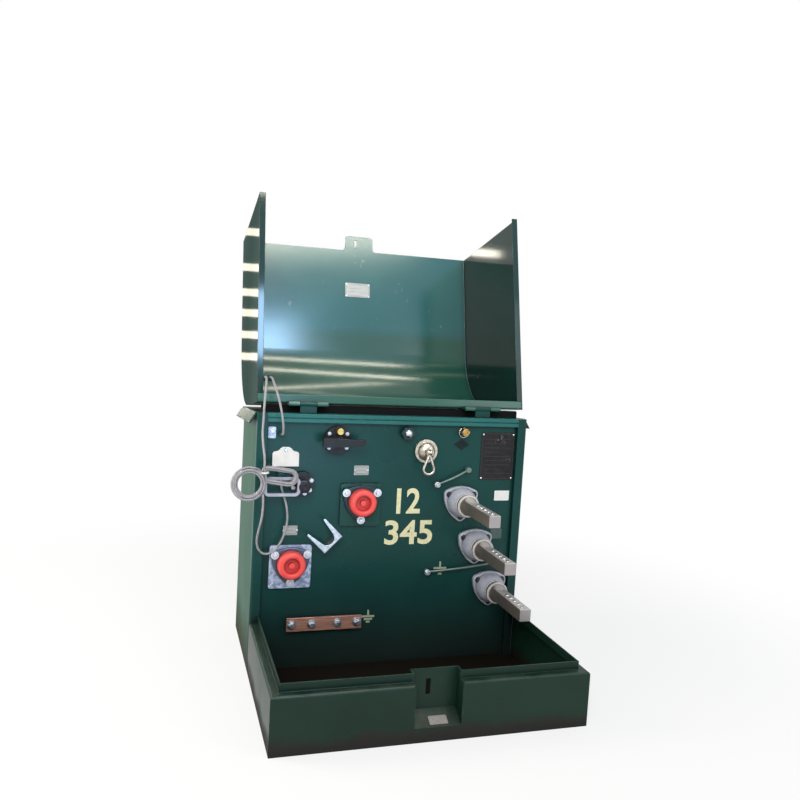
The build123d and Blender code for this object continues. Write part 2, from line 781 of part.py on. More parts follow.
def all_nodes():
    side = sill_side()
    front = sill_front()
    hood_left = hood_side()
    jamb = left_jamb()
    nodes = {
        "tank_body": tank_body(),
        "tank_cover": tank_cover(),
        "left_jamb": jamb,
        "right_jamb": mirror(jamb, Plane.YZ),
        "top_rail": top_rail(),
        "front_plate": front_plate(),
        "sill_left_wall": side,
        "sill_right_wall": mirror(side, Plane.YZ),
        "sill_front_left": front,
        "sill_front_right": mirror(front, Plane.YZ),
        "lock_pocket": lock_pocket(),
        "hood_panel": hood_panel(),
        "hood_left_side": hood_left + cord_clip(),
        "hood_right_side": mirror(hood_left, Plane.YZ),
        "parking_stand": parking_stand(),
        "tap_changer_body": tap_changer_body(),
        "tap_changer_handle": tap_changer_handle(),
        "tap_lock_pin": tap_lock_pin(),
        "switch_body": switch_body(),
        "switch_handle": switch_handle(),
        "relief_valve": relief_valve(),
        "relief_ring": relief_ring(),
        "fill_plug": fill_plug(),
        "vent_plug": vent_plug(),
        "earth_bar": earth_bar(),
        "bonding_wire_upper": bonding_wire(upper_wire_start, upper_wire_end),
        "bonding_wire_lower": bonding_wire(lower_wire_start, lower_wire_end),
        "cord_rise": cord_rise(),
        "cord_fall": cord_fall(),
        "cord_coil": cord_coil(),
        "cord_loop": cord_loop(),
    }
    for name, centre in (("left", -hinge_span), ("right", hinge_span)):
        nodes["tank_hinge_" + name] = tank_hinge(centre)
        nodes["hood_hinge_" + name] = hood_hinge(centre)
    for name, place in (("upper", upper_well), ("lower", lower_well)):
        nodes[name + "_bushing_clamp"] = bushing_clamp(place)
        nodes[name + "_dust_cap"] = dust_cap(place)
    for index in range(bushing_count):
        place = bushing_place(index)
        nodes["low_voltage_bushing_" + str(index + 1)] = low_voltage_bushing(place)
        nodes["bar_connector_" + str(index + 1)] = bar_connector(place)
    return nodes


os.makedirs("parts", exist_ok=True)
for name, part in all_nodes().items():
    export_step(part, "parts/" + name + ".step")
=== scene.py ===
import bpy
import bmesh
import json
import math
from mathutils import Matrix, Vector

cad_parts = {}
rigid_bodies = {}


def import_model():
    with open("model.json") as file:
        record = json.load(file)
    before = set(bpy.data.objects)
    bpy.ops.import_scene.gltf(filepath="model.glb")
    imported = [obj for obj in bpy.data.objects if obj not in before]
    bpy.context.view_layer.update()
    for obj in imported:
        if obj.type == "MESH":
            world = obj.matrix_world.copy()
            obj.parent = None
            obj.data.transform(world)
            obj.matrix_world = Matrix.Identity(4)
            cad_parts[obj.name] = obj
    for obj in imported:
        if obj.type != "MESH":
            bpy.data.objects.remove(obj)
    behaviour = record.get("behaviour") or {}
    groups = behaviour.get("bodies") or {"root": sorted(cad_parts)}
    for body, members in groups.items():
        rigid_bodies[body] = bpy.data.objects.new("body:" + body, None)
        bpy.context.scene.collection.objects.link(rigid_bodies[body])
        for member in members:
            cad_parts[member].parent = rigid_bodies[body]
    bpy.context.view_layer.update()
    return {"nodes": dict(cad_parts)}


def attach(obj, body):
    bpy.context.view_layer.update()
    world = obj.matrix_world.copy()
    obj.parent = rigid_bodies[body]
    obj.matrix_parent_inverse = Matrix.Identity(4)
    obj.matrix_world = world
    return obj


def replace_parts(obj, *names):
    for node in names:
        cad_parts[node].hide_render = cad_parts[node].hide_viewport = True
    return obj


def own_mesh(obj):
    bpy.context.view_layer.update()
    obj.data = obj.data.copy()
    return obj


for leftover in list(bpy.data.objects):
    bpy.data.objects.remove(leftover)
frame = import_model()
cadNodes = frame["nodes"]
scene = bpy.context.scene
scene.view_settings.view_transform = "Standard"
print("frame loaded,", len(cadNodes), "nodes")

# places that many pieces share, in metres
plateY = -0.173
hood = {"hinge": (0, -0.169, 0.751), "openDegrees": -192.7, "frontY": -0.632, "bottom": 0.145,
        "bendCentre": (-0.415, 0.5065), "bendRadius": 0.217, "bendTurn": 85, "rear": (-0.196, 0.7434)}
hingePoint = Vector(hood["hinge"])
hoodOpen = (Matrix.Translation(hingePoint) @ Matrix.Rotation(math.radians(hood["openDegrees"]), 4, "X")
            @ Matrix.Translation(-hingePoint))

# camera
cameraSet = {"place": (-0.6546, -2.3103, 0.9544), "yaw": -16.858, "pitch": -5.44, "roll": -1.741,
             "lens": 35.35, "sensor": 36, "far": 200}
turn = (Matrix.Rotation(math.radians(cameraSet["roll"]), 3, "Y")
        @ Matrix.Rotation(math.radians(cameraSet["pitch"]), 3, "X")
        @ Matrix.Rotation(math.radians(cameraSet["yaw"]), 3, "Z"))
camera = bpy.data.objects.new("camera", bpy.data.cameras.new("camera"))
scene.collection.objects.link(camera)
camera.data.lens = cameraSet["lens"]
camera.data.sensor_width = cameraSet["sensor"]
camera.data.clip_end = cameraSet["far"]
right, up, back = turn @ Vector((1, 0, 0)), turn @ Vector((0, 0, 1)), turn @ Vector((0, -1, 0))
camera.matrix_world = Matrix.Translation(cameraSet["place"]) @ Matrix((right, up, back)).transposed().to_4x4()
scene.camera = camera
print("camera set")


# shader helpers
def put(tree, kind, ins=None, **props):
    node = tree.nodes.new(kind)
    for key, value in props.items():
        setattr(node, key, value)
    for key, value in (ins or {}).items():
        socket = node.inputs[key]
        if isinstance(value, bpy.types.NodeSocket):
            tree.links.new(value, socket)
        else:
            socket.default_value = value
    return node


def maths(tree, operation, first, second=0.0, clamp=False):
    return put(tree, "ShaderNodeMath", {0: first, 1: second}, operation=operation, use_clamp=clamp).outputs[0]


def ramp(tree, value, low, high, toLow=0.0, toHigh=1.0):
    node = put(tree, "ShaderNodeMapRange", {"Value": value, "From Min": low, "From Max": high,
                                            "To Min": toLow, "To Max": toHigh}, interpolation_type="SMOOTHSTEP")
    return node.outputs["Result"]


def mixColour(tree, share, first, second):
    return put(tree, "ShaderNodeMix", {0: share, 6: first, 7: second}, data_type="RGBA").outputs[2]


def dot(tree, first, second):
    return put(tree, "ShaderNodeVectorMath", {0: first, 1: second}, operation="DOT_PRODUCT").outputs["Value"]


def objectPlace(tree):
    return put(tree, "ShaderNodeTexCoord").outputs["Object"]


def objectNormal(tree):
    return put(tree, "ShaderNodeTexCoord").outputs["Normal"]


def axisOf(tree, place, axis):
    return put(tree, "ShaderNodeSeparateXYZ", {0: place}).outputs[axis]


def noise(tree, place, scale, detail=3.0):
    return put(tree, "ShaderNodeTexNoise", {"Vector": place, "Scale": scale, "Detail": detail,
                                            "Roughness": 0.55}).outputs["Fac"]


socketKinds = {float: "Float", int: "Int", tuple: "Vector"}


def newSockets(tree, side, values):  # a value gives the kind and the default, a word only the kind
    for label, value in values.items():
        kind = value if isinstance(value, str) else socketKinds[type(value)]
        socket = tree.interface.new_socket(name=label, in_out=side, socket_type="NodeSocket" + kind)
        if kind != value:
            socket.default_value = value


def newGroup(family, name, ins, outs, fill):  # fill makes what the group gives out
    tree = bpy.data.node_groups.new(name, family + "NodeTree")
    newSockets(tree, "INPUT", ins)
    newSockets(tree, "OUTPUT", outs)
    given = fill(tree, put(tree, "NodeGroupInput").outputs)
    for made, socket in zip(given, put(tree, "NodeGroupOutput").inputs):
        tree.links.new(made, socket)
    return tree


def edgeWearAndHighlight(tree, ins):  # worn, rounded edges, lighter along the edge: wear, and on the enamels a painted highlight
    rounded = put(tree, "ShaderNodeBevel", {"Radius": ins["Radius"]}, samples=4).outputs[0]
    near = dot(tree, rounded, put(tree, "ShaderNodeNewGeometry").outputs["Normal"])
    broken = ramp(tree, noise(tree, objectPlace(tree), 60.0), 0.42, 0.62)
    return maths(tree, "MULTIPLY", ramp(tree, near, 0.97, 0.80), broken), rounded


def paintPeel(tree, ins):  # orange peel of sprayed enamel and its slow change of tone
    where = objectPlace(tree)
    return noise(tree, where, ins["Peel"], 1.5), ramp(tree, noise(tree, where, ins["Tone"], 4.0), 0.2, 0.8)


def settledDustAndTopLight(tree, ins):  # settles on what faces up; on the tinned bars it is a painted highlight on their tops
    level = axisOf(tree, objectNormal(tree), "Z")
    patches = ramp(tree, noise(tree, objectPlace(tree), 14.0, 6.0), 0.3, 0.75)
    lying = maths(tree, "MULTIPLY", ramp(tree, level, 0.35, 0.95), patches)
    return [maths(tree, "MULTIPLY", lying, ins["Amount"], True)]


def drawnGrain(tree, ins):  # fine lines along the way that is stretched least
    pulled = put(tree, "ShaderNodeVectorMath", {0: objectPlace(tree), 1: ins["Stretch"]}, operation="MULTIPLY")
    return [noise(tree, pulled.outputs[0], ins["Scale"], 2.0)]


def zincSpangle(tree, ins):  # crystal pattern of zinc
    cells = put(tree, "ShaderNodeTexVoronoi", {"Vector": objectPlace(tree), "Scale": ins["Scale"]}).outputs["Color"]
    return [put(tree, "ShaderNodeSeparateColor", {0: cells}).outputs[0]]


def scuffSpecks(tree, ins):  # scuffs and splashes
    where, rarity = objectPlace(tree), ins["Rarity"]
    dots = ramp(tree, noise(tree, where, ins["Scale"], 2.0), rarity, maths(tree, "ADD", rarity, 0.1))
    fields = ramp(tree, noise(tree, where, ins["Field"], 3.0), 0.56, 0.70)
    return [maths(tree, "MULTIPLY", maths(tree, "MULTIPLY", dots, fields), ins["Cover"], True)]


def risingGrimeAndShade(tree, ins):  # darker tone that climbs from the ground with an uneven edge: dirt on the tank, painted shade low on the front plate
    where = objectPlace(tree)
    wave = maths(tree, "MULTIPLY", maths(tree, "SUBTRACT", noise(tree, where, 13.0, 4.0), 0.5), ins["Wobble"])
    level = maths(tree, "ADD", axisOf(tree, where, "Z"), wave)
    return [ramp(tree, level, ins["Low"], ins["High"], 1.0, 0.0)]


def cornerShade(tree, ins):  # painted shade in recesses and inner corners, darker where ambient occlusion finds little open space
    freedom = put(tree, "ShaderNodeAmbientOcclusion", {"Distance": ins["Reach"]}, samples=6).outputs["AO"]
    return [maths(tree, "MULTIPLY", ramp(tree, freedom, 0.92, 0.35), ins["Amount"], True)]


mask, plain = {"Mask": "Float"}, {"Value": "Float"}
groupSet = {
    "grimeAndShade": ("risingGrimeAndShade", {"Low": 0.0, "High": 0.05, "Wobble": 0.02}, mask, risingGrimeAndShade),
    "corner": ("cornerShade", {"Reach": 0.02, "Amount": 0.6}, mask, cornerShade),
    "wearAndHighlight": ("edgeWearAndHighlight", {"Radius": 0.002}, {**mask, "Normal": "Vector"}, edgeWearAndHighlight),
    "peel": ("paintPeel", {"Peel": 420.0, "Tone": 5.0}, {"Height": "Float", "Tone": "Float"}, paintPeel),
    "dust": ("settledDustAndTopLight", {"Amount": 0.3}, mask, settledDustAndTopLight),
    "grain": ("drawnGrain", {"Stretch": (1, 1, 1), "Scale": 200.0}, plain, drawnGrain),
    "spangle": ("zincSpangle", {"Scale": 90.0}, plain, zincSpangle),
    "specks": ("scuffSpecks", {"Scale": 60.0, "Cover": 0.2, "Field": 9.0, "Rarity": 0.63}, mask, scuffSpecks),
}
groups = {key: newGroup("Shader", *spec) for key, spec in groupSet.items()}


def useGroup(tree, key, ins):
    node = tree.nodes.new("ShaderNodeGroup")
    node.node_tree = groups[key]
    for label, value in ins.items():
        node.inputs[label].default_value = value
    return node.outputs


def linear(*screen):  # screen colour, 0 to 255, to light
    shares = [value / 255 for value in screen]
    return (*(s / 12.92 if s <= 0.04045 else ((s + 0.055) / 1.055) ** 2.4 for s in shares), 1)


finishRules = {"bumpDepth": 0.0005, "shade": (0.25, 0.75), "flat": (0.25, 0.9), "dustRough": 0.4,
               "layerEdge": 0.0005, "facing": (-0.1, 0.25)}


def makeFinish(name, spec):
    made = bpy.data.materials.new(name)
    made.use_nodes = True
    tree = made.node_tree
    shader = tree.nodes["Principled BSDF"]
    gloss = spec.get("gloss", 0.5)
    shader.inputs["Metallic"].default_value = spec.get("metal", 0.0)
    shader.inputs["Specular IOR Level"].default_value = gloss
    if "shy" in spec:  # less gloss at a flat angle
        flat = put(tree, "ShaderNodeLayerWeight", {"Blend": 0.5}).outputs["Facing"]
        less = ramp(tree, flat, *finishRules["flat"], gloss, gloss * spec["shy"])
        tree.links.new(less, shader.inputs["Specular IOR Level"])
    mottle = spec.get("mottle", 25.0)
    if "peel" in spec:
        peel = useGroup(tree, "peel", {"Peel": spec["peel"], "Tone": mottle})
        shade, height = peel["Tone"], peel["Height"]
    else:
        if "grain" in spec:
            shade = height = useGroup(tree, "grain", {"Stretch": spec["grain"], "Scale": spec["grainScale"]})["Value"]
        else:
            shade = height = noise(tree, objectPlace(tree), mottle, 5.0)
        if "spangle" in spec:
            shade = useGroup(tree, "spangle", {"Scale": spec["spangle"]})["Value"]
        shade = ramp(tree, shade, *finishRules["shade"])
    low, high = spec["rough"]
    rough = maths(tree, "ADD", maths(tree, "MULTIPLY", shade, high - low), low)
    mixed = mixColour(tree, shade, linear(*spec["colour"]), linear(*spec["second"]))

    def over(share, tone):  # what is mixed so far, with another tone over a share of it
        return mixColour(tree, share, mixed, linear(*tone))

    def dulled(share, amount):
        return maths(tree, "ADD", rough, maths(tree, "MULTIPLY", share, amount), True)

    bump = put(tree, "ShaderNodeBump", {"Strength": spec.get("bump", 0.1), "Distance": finishRules["bumpDepth"],
                                        "Height": height})
    tree.links.new(bump.outputs[0], shader.inputs["Normal"])
    # lighter edges: wear, and on the enamels and the upper clamp a painted highlight along the edges
    if "wearAndHighlight" in spec:
        wearAndHighlight = useGroup(tree, "wearAndHighlight", {"Radius": spec["wearAndHighlight"]})
        tree.links.new(wearAndHighlight["Normal"], bump.inputs["Normal"])
        mixed = over(maths(tree, "MULTIPLY", wearAndHighlight["Mask"], spec.get("wearAndHighlightShare", 0.6)), spec["wornAndLitTone"])
    if "specks" in spec:
        specks = useGroup(tree, "specks", {"Scale": spec.get("speckScale", 60.0), "Cover": spec["specks"],
                                           "Field": spec.get("speckField", 9.0),
                                           "Rarity": spec.get("speckRarity", 0.63)})
        mixed = over(specks["Mask"], spec["speckColour"])
    # dust on what faces up, and on the tinned bars a painted highlight on their tops
    if "dust" in spec:
        dust = useGroup(tree, "dust", {"Amount": spec["dust"]})["Mask"]
        mixed, rough = over(dust, spec["dustColour"]), dulled(dust, finishRules["dustRough"])
    if "outerToneAndHighlight" in spec:  # a second tone on what stands further out than an edge: the lower clamp's cast part has its own tone, the upper clamp's ring and the fill plug get a bluish painted highlight
        (edge, tone), blur = spec["outerToneAndHighlight"], finishRules["layerEdge"]
        mixed = over(ramp(tree, axisOf(tree, objectPlace(tree), "Y"), edge + blur, edge - blur), tone)
    # darker towards the bottom: dirt on the tank, painted shade on the front plate, a darker brown band on the sill
    # and a greener tone low on the hood
    if "grimeAndShade" in spec:
        low, high, wobble, amount = spec["grimeAndShade"]
        grimeAndShade = useGroup(tree, "grimeAndShade", {"Low": low, "High": high, "Wobble": wobble})["Mask"]
        share = maths(tree, "MULTIPLY", grimeAndShade, amount)
        mixed, rough = over(share, spec["grimeAndShadeColour"]), dulled(share, spec.get("grimeRough", 0.3))
    if "facing" in spec:  # another tone on what faces one way: painted shade on the bars' left sides; on the hood it keeps the painted light off faces turned back and down
        way, tone = spec["facing"]
        mixed = over(ramp(tree, dot(tree, objectNormal(tree), way), *finishRules["facing"]), tone)
    # painted shade: recesses and inner corners darkened by the ambient occlusion mask
    if "corner" in spec:
        reach, amount = spec["corner"]
        mixed = over(useGroup(tree, "corner", {"Reach": reach, "Amount": amount})["Mask"], spec["cornerShadeColour"])
    tree.links.new(mixed, shader.inputs["Base Color"])
    tree.links.new(rough, shader.inputs["Roughness"])
    return made


enamel = {"colour": (11, 60, 57), "second": (16, 67, 63), "rough": (0.24, 0.34), "gloss": 0.2, "shy": 0.3,
          "peel": 380.0, "mottle": 4.0, "wearAndHighlight": 0.0025, "wornAndLitTone": (60, 104, 98), "wearAndHighlightShare": 0.45, "dust": 0.10,
          "dustColour": (96, 104, 92), "corner": (0.03, 0.6), "cornerShadeColour": (4, 20, 18)}
zinc = {"mottle": 120.0, "bump": 0.05, "wearAndHighlight": 0.001}
finishSet = {
    # painted shade: the front plate darkens towards its bottom
    "plateEnamel": {**enamel, "grimeAndShade": (-0.02, 0.34, 0.05, 0.9), "grimeAndShadeColour": (14, 18, 13)},
    # lit copy of the enamel: lighter, painted light on the top rail
    "railEnamelLit": {**enamel, "colour": (36, 100, 98), "second": (42, 108, 106), "corner": (0.008, 0.25)},
    # the raised ring and the fill plug's front get a bluish painted highlight, and the paler worn edges are a painted
    # highlight too
    "darkEnamel": {**enamel, "colour": (13, 62, 55), "second": (18, 72, 64), "rough": (0.14, 0.22), "gloss": 0.25,
                   "corner": (0.02, 0.5), "outerToneAndHighlight": (-0.186, (44, 62, 74)), "wornAndLitTone": (130, 152, 166), "wearAndHighlightShare": 0.7},
    # lit copy of the enamel: lighter and bluer, painted light from above on the open hood; faces turned back and down
    # get a darker tone, and below a height the hood turns greener
    "hoodEnamelLit": {**enamel, "colour": (34, 100, 100), "second": (40, 107, 107), "rough": (0.14, 0.18), "gloss": 0.5,
                   "shy": 0.8, "specks": 0.4, "speckColour": (150, 168, 172), "wornAndLitTone": (92, 132, 130),
                   "facing": ((0, 1, -1), (18, 60, 50)), "grimeAndShade": (0.93, 0.985, 0.0, 0.8),
                   "grimeAndShadeColour": (36, 86, 66), "grimeRough": 0.0},
    # shaded copy of the enamel: darker, painted shade on the hood's sides
    "sideEnamelShaded": {**enamel, "colour": (13, 46, 41), "second": (19, 54, 48), "rough": (0.06, 0.09), "gloss": 0.3,
                   "shy": 0.0006, "bump": 0.02, "specks": 0.35, "speckColour": (110, 122, 120),
                   "wornAndLitTone": (104, 128, 120)},
    # lit copy of the enamel: lighter and more olive, painted warm light from the left; dirt darkens it towards the
    # bottom
    "tankEnamelLit": {**enamel, "colour": (30, 74, 58), "second": (38, 84, 66), "rough": (0.34, 0.46), "shy": 0.2,
                   "specks": 0.25, "speckColour": (96, 112, 96), "grimeAndShade": (0.0, 0.16, 0.08, 0.8),
                   "grimeAndShadeColour": (52, 48, 34)},
    # darker brown band along the sill's bottom; its lighter worn edges are partly a painted highlight
    "sillEnamel": {**enamel, "colour": (16, 40, 31), "second": (22, 48, 38), "rough": (0.26, 0.36),
                   "wornAndLitTone": (66, 92, 80), "wearAndHighlightShare": 0.6, "dust": 0.35, "dustColour": (86, 98, 88),
                   "grimeAndShade": (0.012, 0.052, 0.05, 0.92), "grimeAndShadeColour": (30, 23, 18)},
    "coverEnamel": {**enamel, "colour": (30, 58, 48), "second": (40, 68, 57), "rough": (0.34, 0.46)},
    # lit copy of the enamel, lighter like the hood's painted light
    "weldEnamelLit": {**enamel, "colour": (34, 84, 86), "second": (52, 106, 110), "rough": (0.16, 0.28), "gloss": 0.5},
    "zincPlate": {**zinc, "colour": (168, 172, 178), "second": (206, 210, 214), "rough": (0.26, 0.42), "metal": 1.0,
                  "wornAndLitTone": (226, 228, 230)},
    "brightZinc": {**zinc, "colour": (196, 200, 207), "second": (220, 223, 228), "rough": (0.3, 0.42), "metal": 0.45,
                   "wornAndLitTone": (236, 238, 242)},
    "dullZinc": {**zinc, "colour": (150, 147, 156), "second": (176, 173, 182), "rough": (0.4, 0.5), "metal": 0.5,
                 "mottle": 100.0, "bump": 0.06, "wornAndLitTone": (206, 204, 212)},
    "warmSteel": {**zinc, "colour": (166, 156, 140), "second": (214, 206, 192), "rough": (0.24, 0.4), "metal": 0.9,
                  "mottle": 90.0, "bump": 0.06, "wornAndLitTone": (232, 226, 216), "corner": (0.012, 0.6),
                  "cornerShadeColour": (62, 50, 40)},
    "galvanised": {"colour": (146, 154, 176), "second": (188, 196, 216), "rough": (0.34, 0.5), "metal": 0.6,
                   "spangle": 130.0, "bump": 0.08, "wearAndHighlight": 0.0012, "wornAndLitTone": (222, 226, 236),
                   "outerToneAndHighlight": (-0.186, (84, 88, 102)), "corner": (0.012, 0.7), "cornerShadeColour": (30, 34, 50)},
    "castResin": {"colour": (164, 168, 182), "second": (186, 189, 202), "rough": (0.42, 0.55), "gloss": 0.35,
                  "mottle": 45.0, "wearAndHighlight": 0.002, "wornAndLitTone": (204, 206, 212), "dust": 0.25, "dustColour": (196, 192, 184),
                  "corner": (0.010, 0.9), "cornerShadeColour": (64, 62, 68)},
    # lit copy of the resin: the collars lighter, painted light
    "collarResinLit": {"colour": (188, 184, 180), "second": (208, 204, 198), "rough": (0.4, 0.52), "gloss": 0.35,
                    "mottle": 60.0, "bump": 0.08, "wearAndHighlight": 0.002, "wornAndLitTone": (226, 222, 214)},
    # painted light on the bars: tops lighter through the dust tone, left sides darker through the facing tone
    "tinnedBar": {"colour": (158, 152, 152), "second": (180, 174, 174), "rough": (0.30, 0.40), "metal": 0.5,
                  "gloss": 0.4, "dust": 0.5, "dustColour": (214, 208, 200), "grain": (1.0, 0.05, 1.0),
                  "grainScale": 420.0, "bump": 0.05, "wearAndHighlight": 0.002, "wornAndLitTone": (226, 222, 218), "wearAndHighlightShare": 0.8,
                  "facing": ((-1, 0, -0.4), (112, 105, 100))},
    "mouldedBlack": {"colour": (14, 14, 17), "second": (22, 22, 26), "rough": (0.3, 0.45), "gloss": 0.3,
                     "mottle": 60.0, "bump": 0.12, "wearAndHighlight": 0.0012, "wornAndLitTone": (70, 70, 76), "dust": 0.15,
                     "dustColour": (96, 94, 98)},
    "softRubber": {"colour": (234, 70, 66), "second": (242, 92, 86), "rough": (0.36, 0.5), "gloss": 0.35,
                   "mottle": 40.0, "bump": 0.08, "wearAndHighlight": 0.003, "wornAndLitTone": (244, 128, 116), "corner": (0.016, 0.8),
                   "cornerShadeColour": (158, 6, 10)},
    "turnedBrass": {"colour": (146, 112, 58), "second": (204, 172, 106), "rough": (0.24, 0.4), "metal": 1.0,
                    "grain": (1.0, 12.0, 1.0), "grainScale": 90.0, "bump": 0.06, "wearAndHighlight": 0.001,
                    "wornAndLitTone": (232, 208, 150)},
    "drawnCopper": {"colour": (178, 124, 106), "second": (214, 162, 142), "rough": (0.28, 0.4), "metal": 0.6,
                    "grain": (0.04, 1.0, 1.0), "grainScale": 620.0, "bump": 0.03, "wearAndHighlight": 0.0012,
                    "wornAndLitTone": (236, 184, 160), "corner": (0.012, 0.6), "cornerShadeColour": (70, 36, 28)},
    "greyJacket": {"colour": (138, 136, 142), "second": (162, 160, 166), "rough": (0.42, 0.55), "gloss": 0.4,
                   "mottle": 90.0, "bump": 0.12},
    "bondStrand": {"colour": (82, 98, 92), "second": (120, 134, 126), "rough": (0.4, 0.6), "metal": 0.4,
                   "grain": (1.0, 6.0, 6.0), "grainScale": 160.0, "bump": 0.5},
    "darkSteel": {"colour": (40, 42, 46), "second": (74, 76, 80), "rough": (0.4, 0.6), "metal": 0.7, "mottle": 160.0},
    "darkPlate": {"colour": (15, 12, 13), "second": (32, 27, 28), "rough": (0.34, 0.48), "gloss": 0.25,
                  "mottle": 70.0, "bump": 0.06, "specks": 0.9, "speckScale": 130.0, "speckField": 16.0,
                  "speckRarity": 0.55, "speckColour": (150, 152, 164), "wearAndHighlight": 0.001, "wornAndLitTone": (104, 96, 96)},
    "paleLabel": {"colour": (150, 150, 146), "second": (172, 172, 168), "rough": (0.42, 0.55), "metal": 0.3,
                  "grain": (0.1, 1.0, 1.0), "grainScale": 300.0, "bump": 0.05, "wearAndHighlight": 0.001, "wornAndLitTone": (212, 212, 206)},
    "whiteCard": {"colour": (222, 222, 220), "second": (236, 236, 234), "rough": (0.5, 0.62), "gloss": 0.3,
                  "mottle": 60.0, "bump": 0.05},
    "dullLabel": {"colour": (64, 84, 80), "second": (80, 98, 94), "rough": (0.45, 0.6), "gloss": 0.3, "mottle": 80.0,
                  "bump": 0.05},
    "paleRule": {"colour": (40, 37, 38), "second": (58, 54, 55), "rough": (0.4, 0.55), "metal": 0.3, "mottle": 200.0,
                 "bump": 0.05},
    "dullRule": {"colour": (112, 108, 108), "second": (132, 128, 126), "rough": (0.4, 0.55), "metal": 0.3,
                 "mottle": 200.0, "bump": 0.05},
    "darkGreen": {"colour": (3, 20, 20), "second": (6, 28, 27), "rough": (0.35, 0.5), "gloss": 0.2, "mottle": 60.0,
                  "bump": 0.06},
    "sealRubber": {"colour": (8, 10, 10), "second": (16, 18, 18), "rough": (0.7, 0.85), "gloss": 0.1, "mottle": 60.0},
    "creamPaint": {"colour": (216, 212, 168), "second": (234, 230, 190), "rough": (0.4, 0.55), "gloss": 0.3,
                   "mottle": 120.0},
    "fadedPaint": {"colour": (140, 152, 128), "second": (172, 180, 156), "rough": (0.4, 0.55), "gloss": 0.3,
                   "mottle": 160.0},
}
finishes = {name: makeFinish(name, spec) for name, spec in finishSet.items()}
print("finishes made,", len(finishes))

# what each node of the frame is finished with
nodeFinish = {
    "plateEnamel": ["front_plate", "left_jamb", "right_jamb", "tank_hinge_left", "tank_hinge_right"],
    "railEnamelLit": ["top_rail"],
    "darkEnamel": ["fill_plug", "upper_bushing_clamp"],
    "hoodEnamelLit": ["hood_panel", "hood_hinge_left", "hood_hinge_right"],
    "sideEnamelShaded": ["hood_left_side", "hood_right_side"],
    "tankEnamelLit": ["tank_body"],
    "coverEnamel": ["tank_cover"],
    "sillEnamel": ["sill_left_wall", "sill_right_wall", "sill_front_left", "sill_front_right", "lock_pocket"],
    "zincPlate": ["parking_stand"],
    "dullZinc": ["switch_handle"],
    "warmSteel": ["relief_valve", "relief_ring"],
    "galvanised": ["lower_bushing_clamp"],
    "castResin": ["low_voltage_bushing_1", "low_voltage_bushing_2", "low_voltage_bushing_3"],
    "tinnedBar": ["bar_connector_1", "bar_connector_2", "bar_connector_3"],
    "mouldedBlack": ["tap_changer_body", "tap_changer_handle", "switch_body"],
    "softRubber": ["upper_dust_cap", "lower_dust_cap"],
    "turnedBrass": ["tap_lock_pin", "vent_plug"],
    "drawnCopper": ["earth_bar"],
    "bondStrand": ["bonding_wire_upper", "bonding_wire_lower"],
    "greyJacket": ["cord_rise", "cord_fall", "cord_coil", "cord_loop"],
}
for finish, members in nodeFinish.items():
    for member in members:
        cadNodes[member].data.materials.clear()
        cadNodes[member].data.materials.append(finishes[finish])


def addPiece(name, mesh, finish, body="tank"):
    piece = bpy.data.objects.new(name, mesh)
    scene.collection.objects.link(piece)
    if finish:
        mesh.materials.clear()
        mesh.materials.append(finishes[finish])
    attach(piece, body)
    return piece


# mesh helpers
def circle(count):
    return [(math.cos(a), math.sin(a)) for a in (2 * math.pi * k / count for k in range(count))]


def bridge(build, rings, closed=False):  # walls from ring to ring
    for first, second in zip(rings, rings[1:] + rings[:1] if closed else rings[1:]):
        for k in range(len(first)):
            after = (k + 1) % len(first)
            corners = list(dict.fromkeys((first[k], first[after], second[after], second[k])))
            if len(corners) > 2:
                build.faces.new(corners)


def onPlate(x, z, out=0.0):  # right, up and out of the front plate
    return Matrix(((1, 0, 0, x), (0, 0, -1, plateY - out), (0, 1, 0, z), (0, 0, 0, 1)))


def inHood(x, z):  # on the inner face of the hood's front, which faces the viewer when it is open
    shut = Matrix(((1, 0, 0, x), (0, 0, 1, hood["frontY"]), (0, -1, 0, z), (0, 0, 0, 1)))
    return hoodOpen @ shut


def meshFrom(name, build, place, smooth=False):
    bmesh.ops.recalc_face_normals(build, faces=build.faces)
    mesh = bpy.data.meshes.new(name)
    build.to_mesh(mesh)
    build.free()
    mesh.transform(place)
    if smooth:
        mesh.shade_smooth()
    return mesh


def meshOf(holder, name):  # the plain mesh of a curve, a text or a grown object, which is then removed
    mesh = bpy.data.meshes.new_from_object(holder.evaluated_get(bpy.context.evaluated_depsgraph_get()))
    mesh.name = name
    holder.modifiers.clear()
    bpy.data.objects.remove(holder)
    return mesh


def held(name, data):
    holder = bpy.data.objects.new(name + "Holder", data)
    scene.collection.objects.link(holder)
    return holder


def roundedOutline(width, height, corner, steps=5):
    points = []
    for sideX, sideY, start in ((1, 1, 0), (-1, 1, 90), (-1, -1, 180), (1, -1, 270)):
        for k in range(steps + 1):
            a = math.radians(start + 90 * k / steps)
            points.append((sideX * (width / 2 - corner) + corner * math.cos(a),
                           sideY * (height / 2 - corner) + corner * math.sin(a)))
    return points


def addPlate(build, outline, low, high, bevel):
    ring = [build.verts.new((x, y, low)) for x, y in outline]
    lifted = bmesh.ops.extrude_face_region(build, geom=[build.faces.new(ring)])
    raised = [part for part in lifted["geom"] if isinstance(part, bmesh.types.BMVert)]
    bmesh.ops.translate(build, vec=(0, 0, high - low), verts=raised)
    if bevel:
        rim = [e for e in {e for v in raised for e in v.link_edges} if all(v in raised for v in e.verts)]
        bmesh.ops.bevel(build, geom=rim, offset=bevel, segments=2, profile=0.6, affect="EDGES")


def addBar(build, x, y, width, height, low, high, soft=0.2):  # soft is the bevel's share of the least side
    corners = [(x + a * width / 2, y + b * height / 2) for a, b in ((-1, -1), (1, -1), (1, 1), (-1, 1))]
    addPlate(build, corners, low, high, min(width, height, high - low) * soft)


